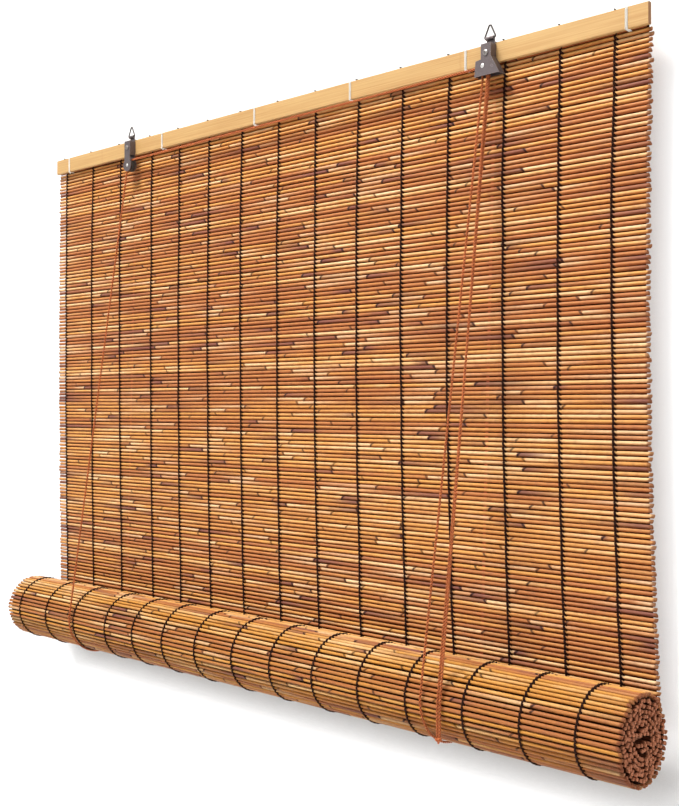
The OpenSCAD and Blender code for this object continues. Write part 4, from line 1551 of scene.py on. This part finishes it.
@dataclass(frozen=True)
class Studio:
    """Camera at the photograph's place, soft lamps, a white wall behind and a white floor below."""

    camera_at: Point = (1.0186, -0.9569, -0.3964)
    yaw: float = 43.70
    pitch: float = 0.40
    roll: float = -0.04
    focal_px: float = 1132.0
    image: Tuple[int, int] = (679, 806)
    shift_px: float = -3.7
    wall_y: float = 0.034
    wall_glow: float = 0.76
    floor_z: float = -1.35
    floor_glow: float = 0.80
    far: float = 6.0
    lit: Colour = (0.86, 0.86, 0.86)
    shown: Colour = (0.40, 0.40, 0.40)
    ambient: float = 0.20
    # Reach, depth and heights of the painted shadow on the wall.
    edge_reach: float = 0.032
    roll_reach: float = 0.080
    roll_depth: float = 5.0
    roll_heights: Tuple[float, float] = (-0.755, -0.70)
    clear_heights: Tuple[float, float] = (-1.20, -1.05)
    aim: Point = (0.0, 0.0, -0.4)
    lamps: Tuple[Lamp, ...] = (
        Lamp("key", (-0.5, -1.6, 2.6), (1.2, 0.6), 188.0, (1.0, 0.985, 0.96)),
        Lamp("fill", (2.2, -1.6, 0.3), (1.2, 1.6), 17.0, (1.0, 0.98, 0.97)),
        Lamp("rear", (-0.6, 2.2, 1.2), (1.6, 1.2), 55.0, (1.0, 0.985, 0.97)),
    )

    def camera(self) -> None:
        """Places the camera."""
        data = bpy.data.cameras.new("camera")
        data.sensor_width = 36.0
        data.lens = self.focal_px / max(self.image) * data.sensor_width
        data.shift_y = self.shift_px / max(self.image)
        data.clip_start, data.clip_end = 0.02, 60.0
        yaw, pitch = math.radians(self.yaw), math.radians(self.pitch)
        ahead = Vector((-math.sin(yaw) * math.cos(pitch), math.cos(yaw) * math.cos(pitch), math.sin(pitch)))
        right = Vector((math.cos(yaw), math.sin(yaw), 0.0))
        turn = Matrix((right, right.cross(ahead), -ahead)).transposed().to_4x4()
        camera = bpy.data.objects.new("camera", data)
        tilt = Matrix.Rotation(-math.radians(self.roll), 4, "Z")
        camera.matrix_world = Matrix.Translation(self.camera_at) @ turn @ tilt
        bpy.context.scene.collection.objects.link(camera)
        bpy.context.scene.camera = camera

    def shows(self, net: Net) -> Sock:
        """One for rays that show the background: camera, glossy and transmitted ones."""
        path = net.node("ShaderNodeLightPath")
        outs = path.socket.node.outputs
        seen = [Sock(net, outs[n]) for n in ("Is Camera Ray", "Is Glossy Ray", "Is Transmission Ray")]
        return net.math("MINIMUM", seen[0] + seen[1] + seen[2], 1.0)

    def share_outside_painted_shadow(self, net: Net) -> Sock:
        """Share of the white that is left near the object: a painted shadow from ambient occlusion, a narrow
        soft edge, deeper around the roll.
        """
        height = net.parts(net.node("ShaderNodeTexCoord", out="Object"))[2]
        low = 1.0 - net.smooth(height, *self.roll_heights)
        edge = net.node("ShaderNodeAmbientOcclusion", {"Distance": self.edge_reach}, "AO")
        under = net.node("ShaderNodeAmbientOcclusion", {"Distance": self.roll_reach}, "AO")
        near = edge + low * (net.math("POWER", under, self.roll_depth) - edge)
        return 1.0 - net.smooth(height, *self.clear_heights) * (1.0 - near)

    def surface(self, name: str, corners: Sequence[Point], glow: float) -> bpy.types.Object:
        """A plain one-sided white surface that shows the lamps' shadows and a painted shadow, and keeps no
        light from the object.

        Args:
            name: the object's name.
            corners: its corners, anticlockwise from the side that shows.
            glow: strength of the white that rays showing the background see.

        Returns:
            The stage object.
        """
        material = bpy.data.materials.new(name)
        material.use_nodes = True
        net = Net(material.node_tree)
        sockets = material.node_tree.nodes["Principled BSDF"].inputs
        sockets["Roughness"].default_value = 0.9
        sockets["Specular IOR Level"].default_value = 0.0
        sockets["Emission Strength"].default_value = glow
        shows = self.shows(net)
        # Rays that show the wall see a darker base colour, so the lamps' shadow on it is fainter.
        net.feed(sockets["Base Color"], net.mix(shows, self.lit, self.shown))
        # Painted shadow: near the object the glow that shows is dimmed by ambient occlusion.
        white = shows * self.share_outside_painted_shadow(net)
        net.feed(sockets["Emission Color"], net.mix(white, (0.0, 0.0, 0.0), (1.0, 1.0, 1.0)))
        behind = net.node("ShaderNodeNewGeometry", out="Backfacing")
        shadow = net.node("ShaderNodeLightPath", out="Is Shadow Ray")
        net.feed(sockets["Alpha"], (1.0 - behind) * (1.0 - shadow))
        mesh = bpy.data.meshes.new(name)
        mesh.from_pydata([tuple(c) for c in corners], [], [(0, 1, 2, 3)])
        mesh.materials.append(material)
        made = bpy.data.objects.new(name, mesh)
        bpy.context.scene.collection.objects.link(made)
        return made

    def world(self) -> None:
        """White where it shows, and an even soft light elsewhere."""
        world = bpy.data.worlds.new("studio")
        world.use_nodes = True
        net = Net(world.node_tree)
        shade = world.node_tree.nodes["Background"].inputs
        shade["Color"].default_value = (1.0, 1.0, 1.0, 1.0)
        net.feed(shade["Strength"], self.ambient + self.shows(net) * (1.0 - self.ambient))
        bpy.context.scene.world = world

    def build(self) -> None:
        """Sets up the stage."""
        bpy.context.scene.view_settings.view_transform = "Standard"
        self.camera()
        self.world()
        square = [(-self.far, -self.far), (self.far, -self.far), (self.far, self.far), (-self.far, self.far)]
        self.surface("wall", [(a, self.wall_y, b) for a, b in square], self.wall_glow)
        self.surface("floor", [(a, b, self.floor_z) for a, b in square], self.floor_glow)
        for lamp in self.lamps:
            lamp.build(self.aim)


def main() -> None:
    """Builds the shade's looks on the CAD frame."""
    logging.basicConfig(level=logging.INFO, format="%(name)s %(message)s")
    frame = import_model()
    Studio().build()
    shade = Shade({j["name"]: j for j in frame["joints"]})
    Cords(shade).build()
    HungMat(shade).build()
    Roll(shade).build()
    Header(frame["nodes"]).build()


if __name__ == "__main__":
    main()
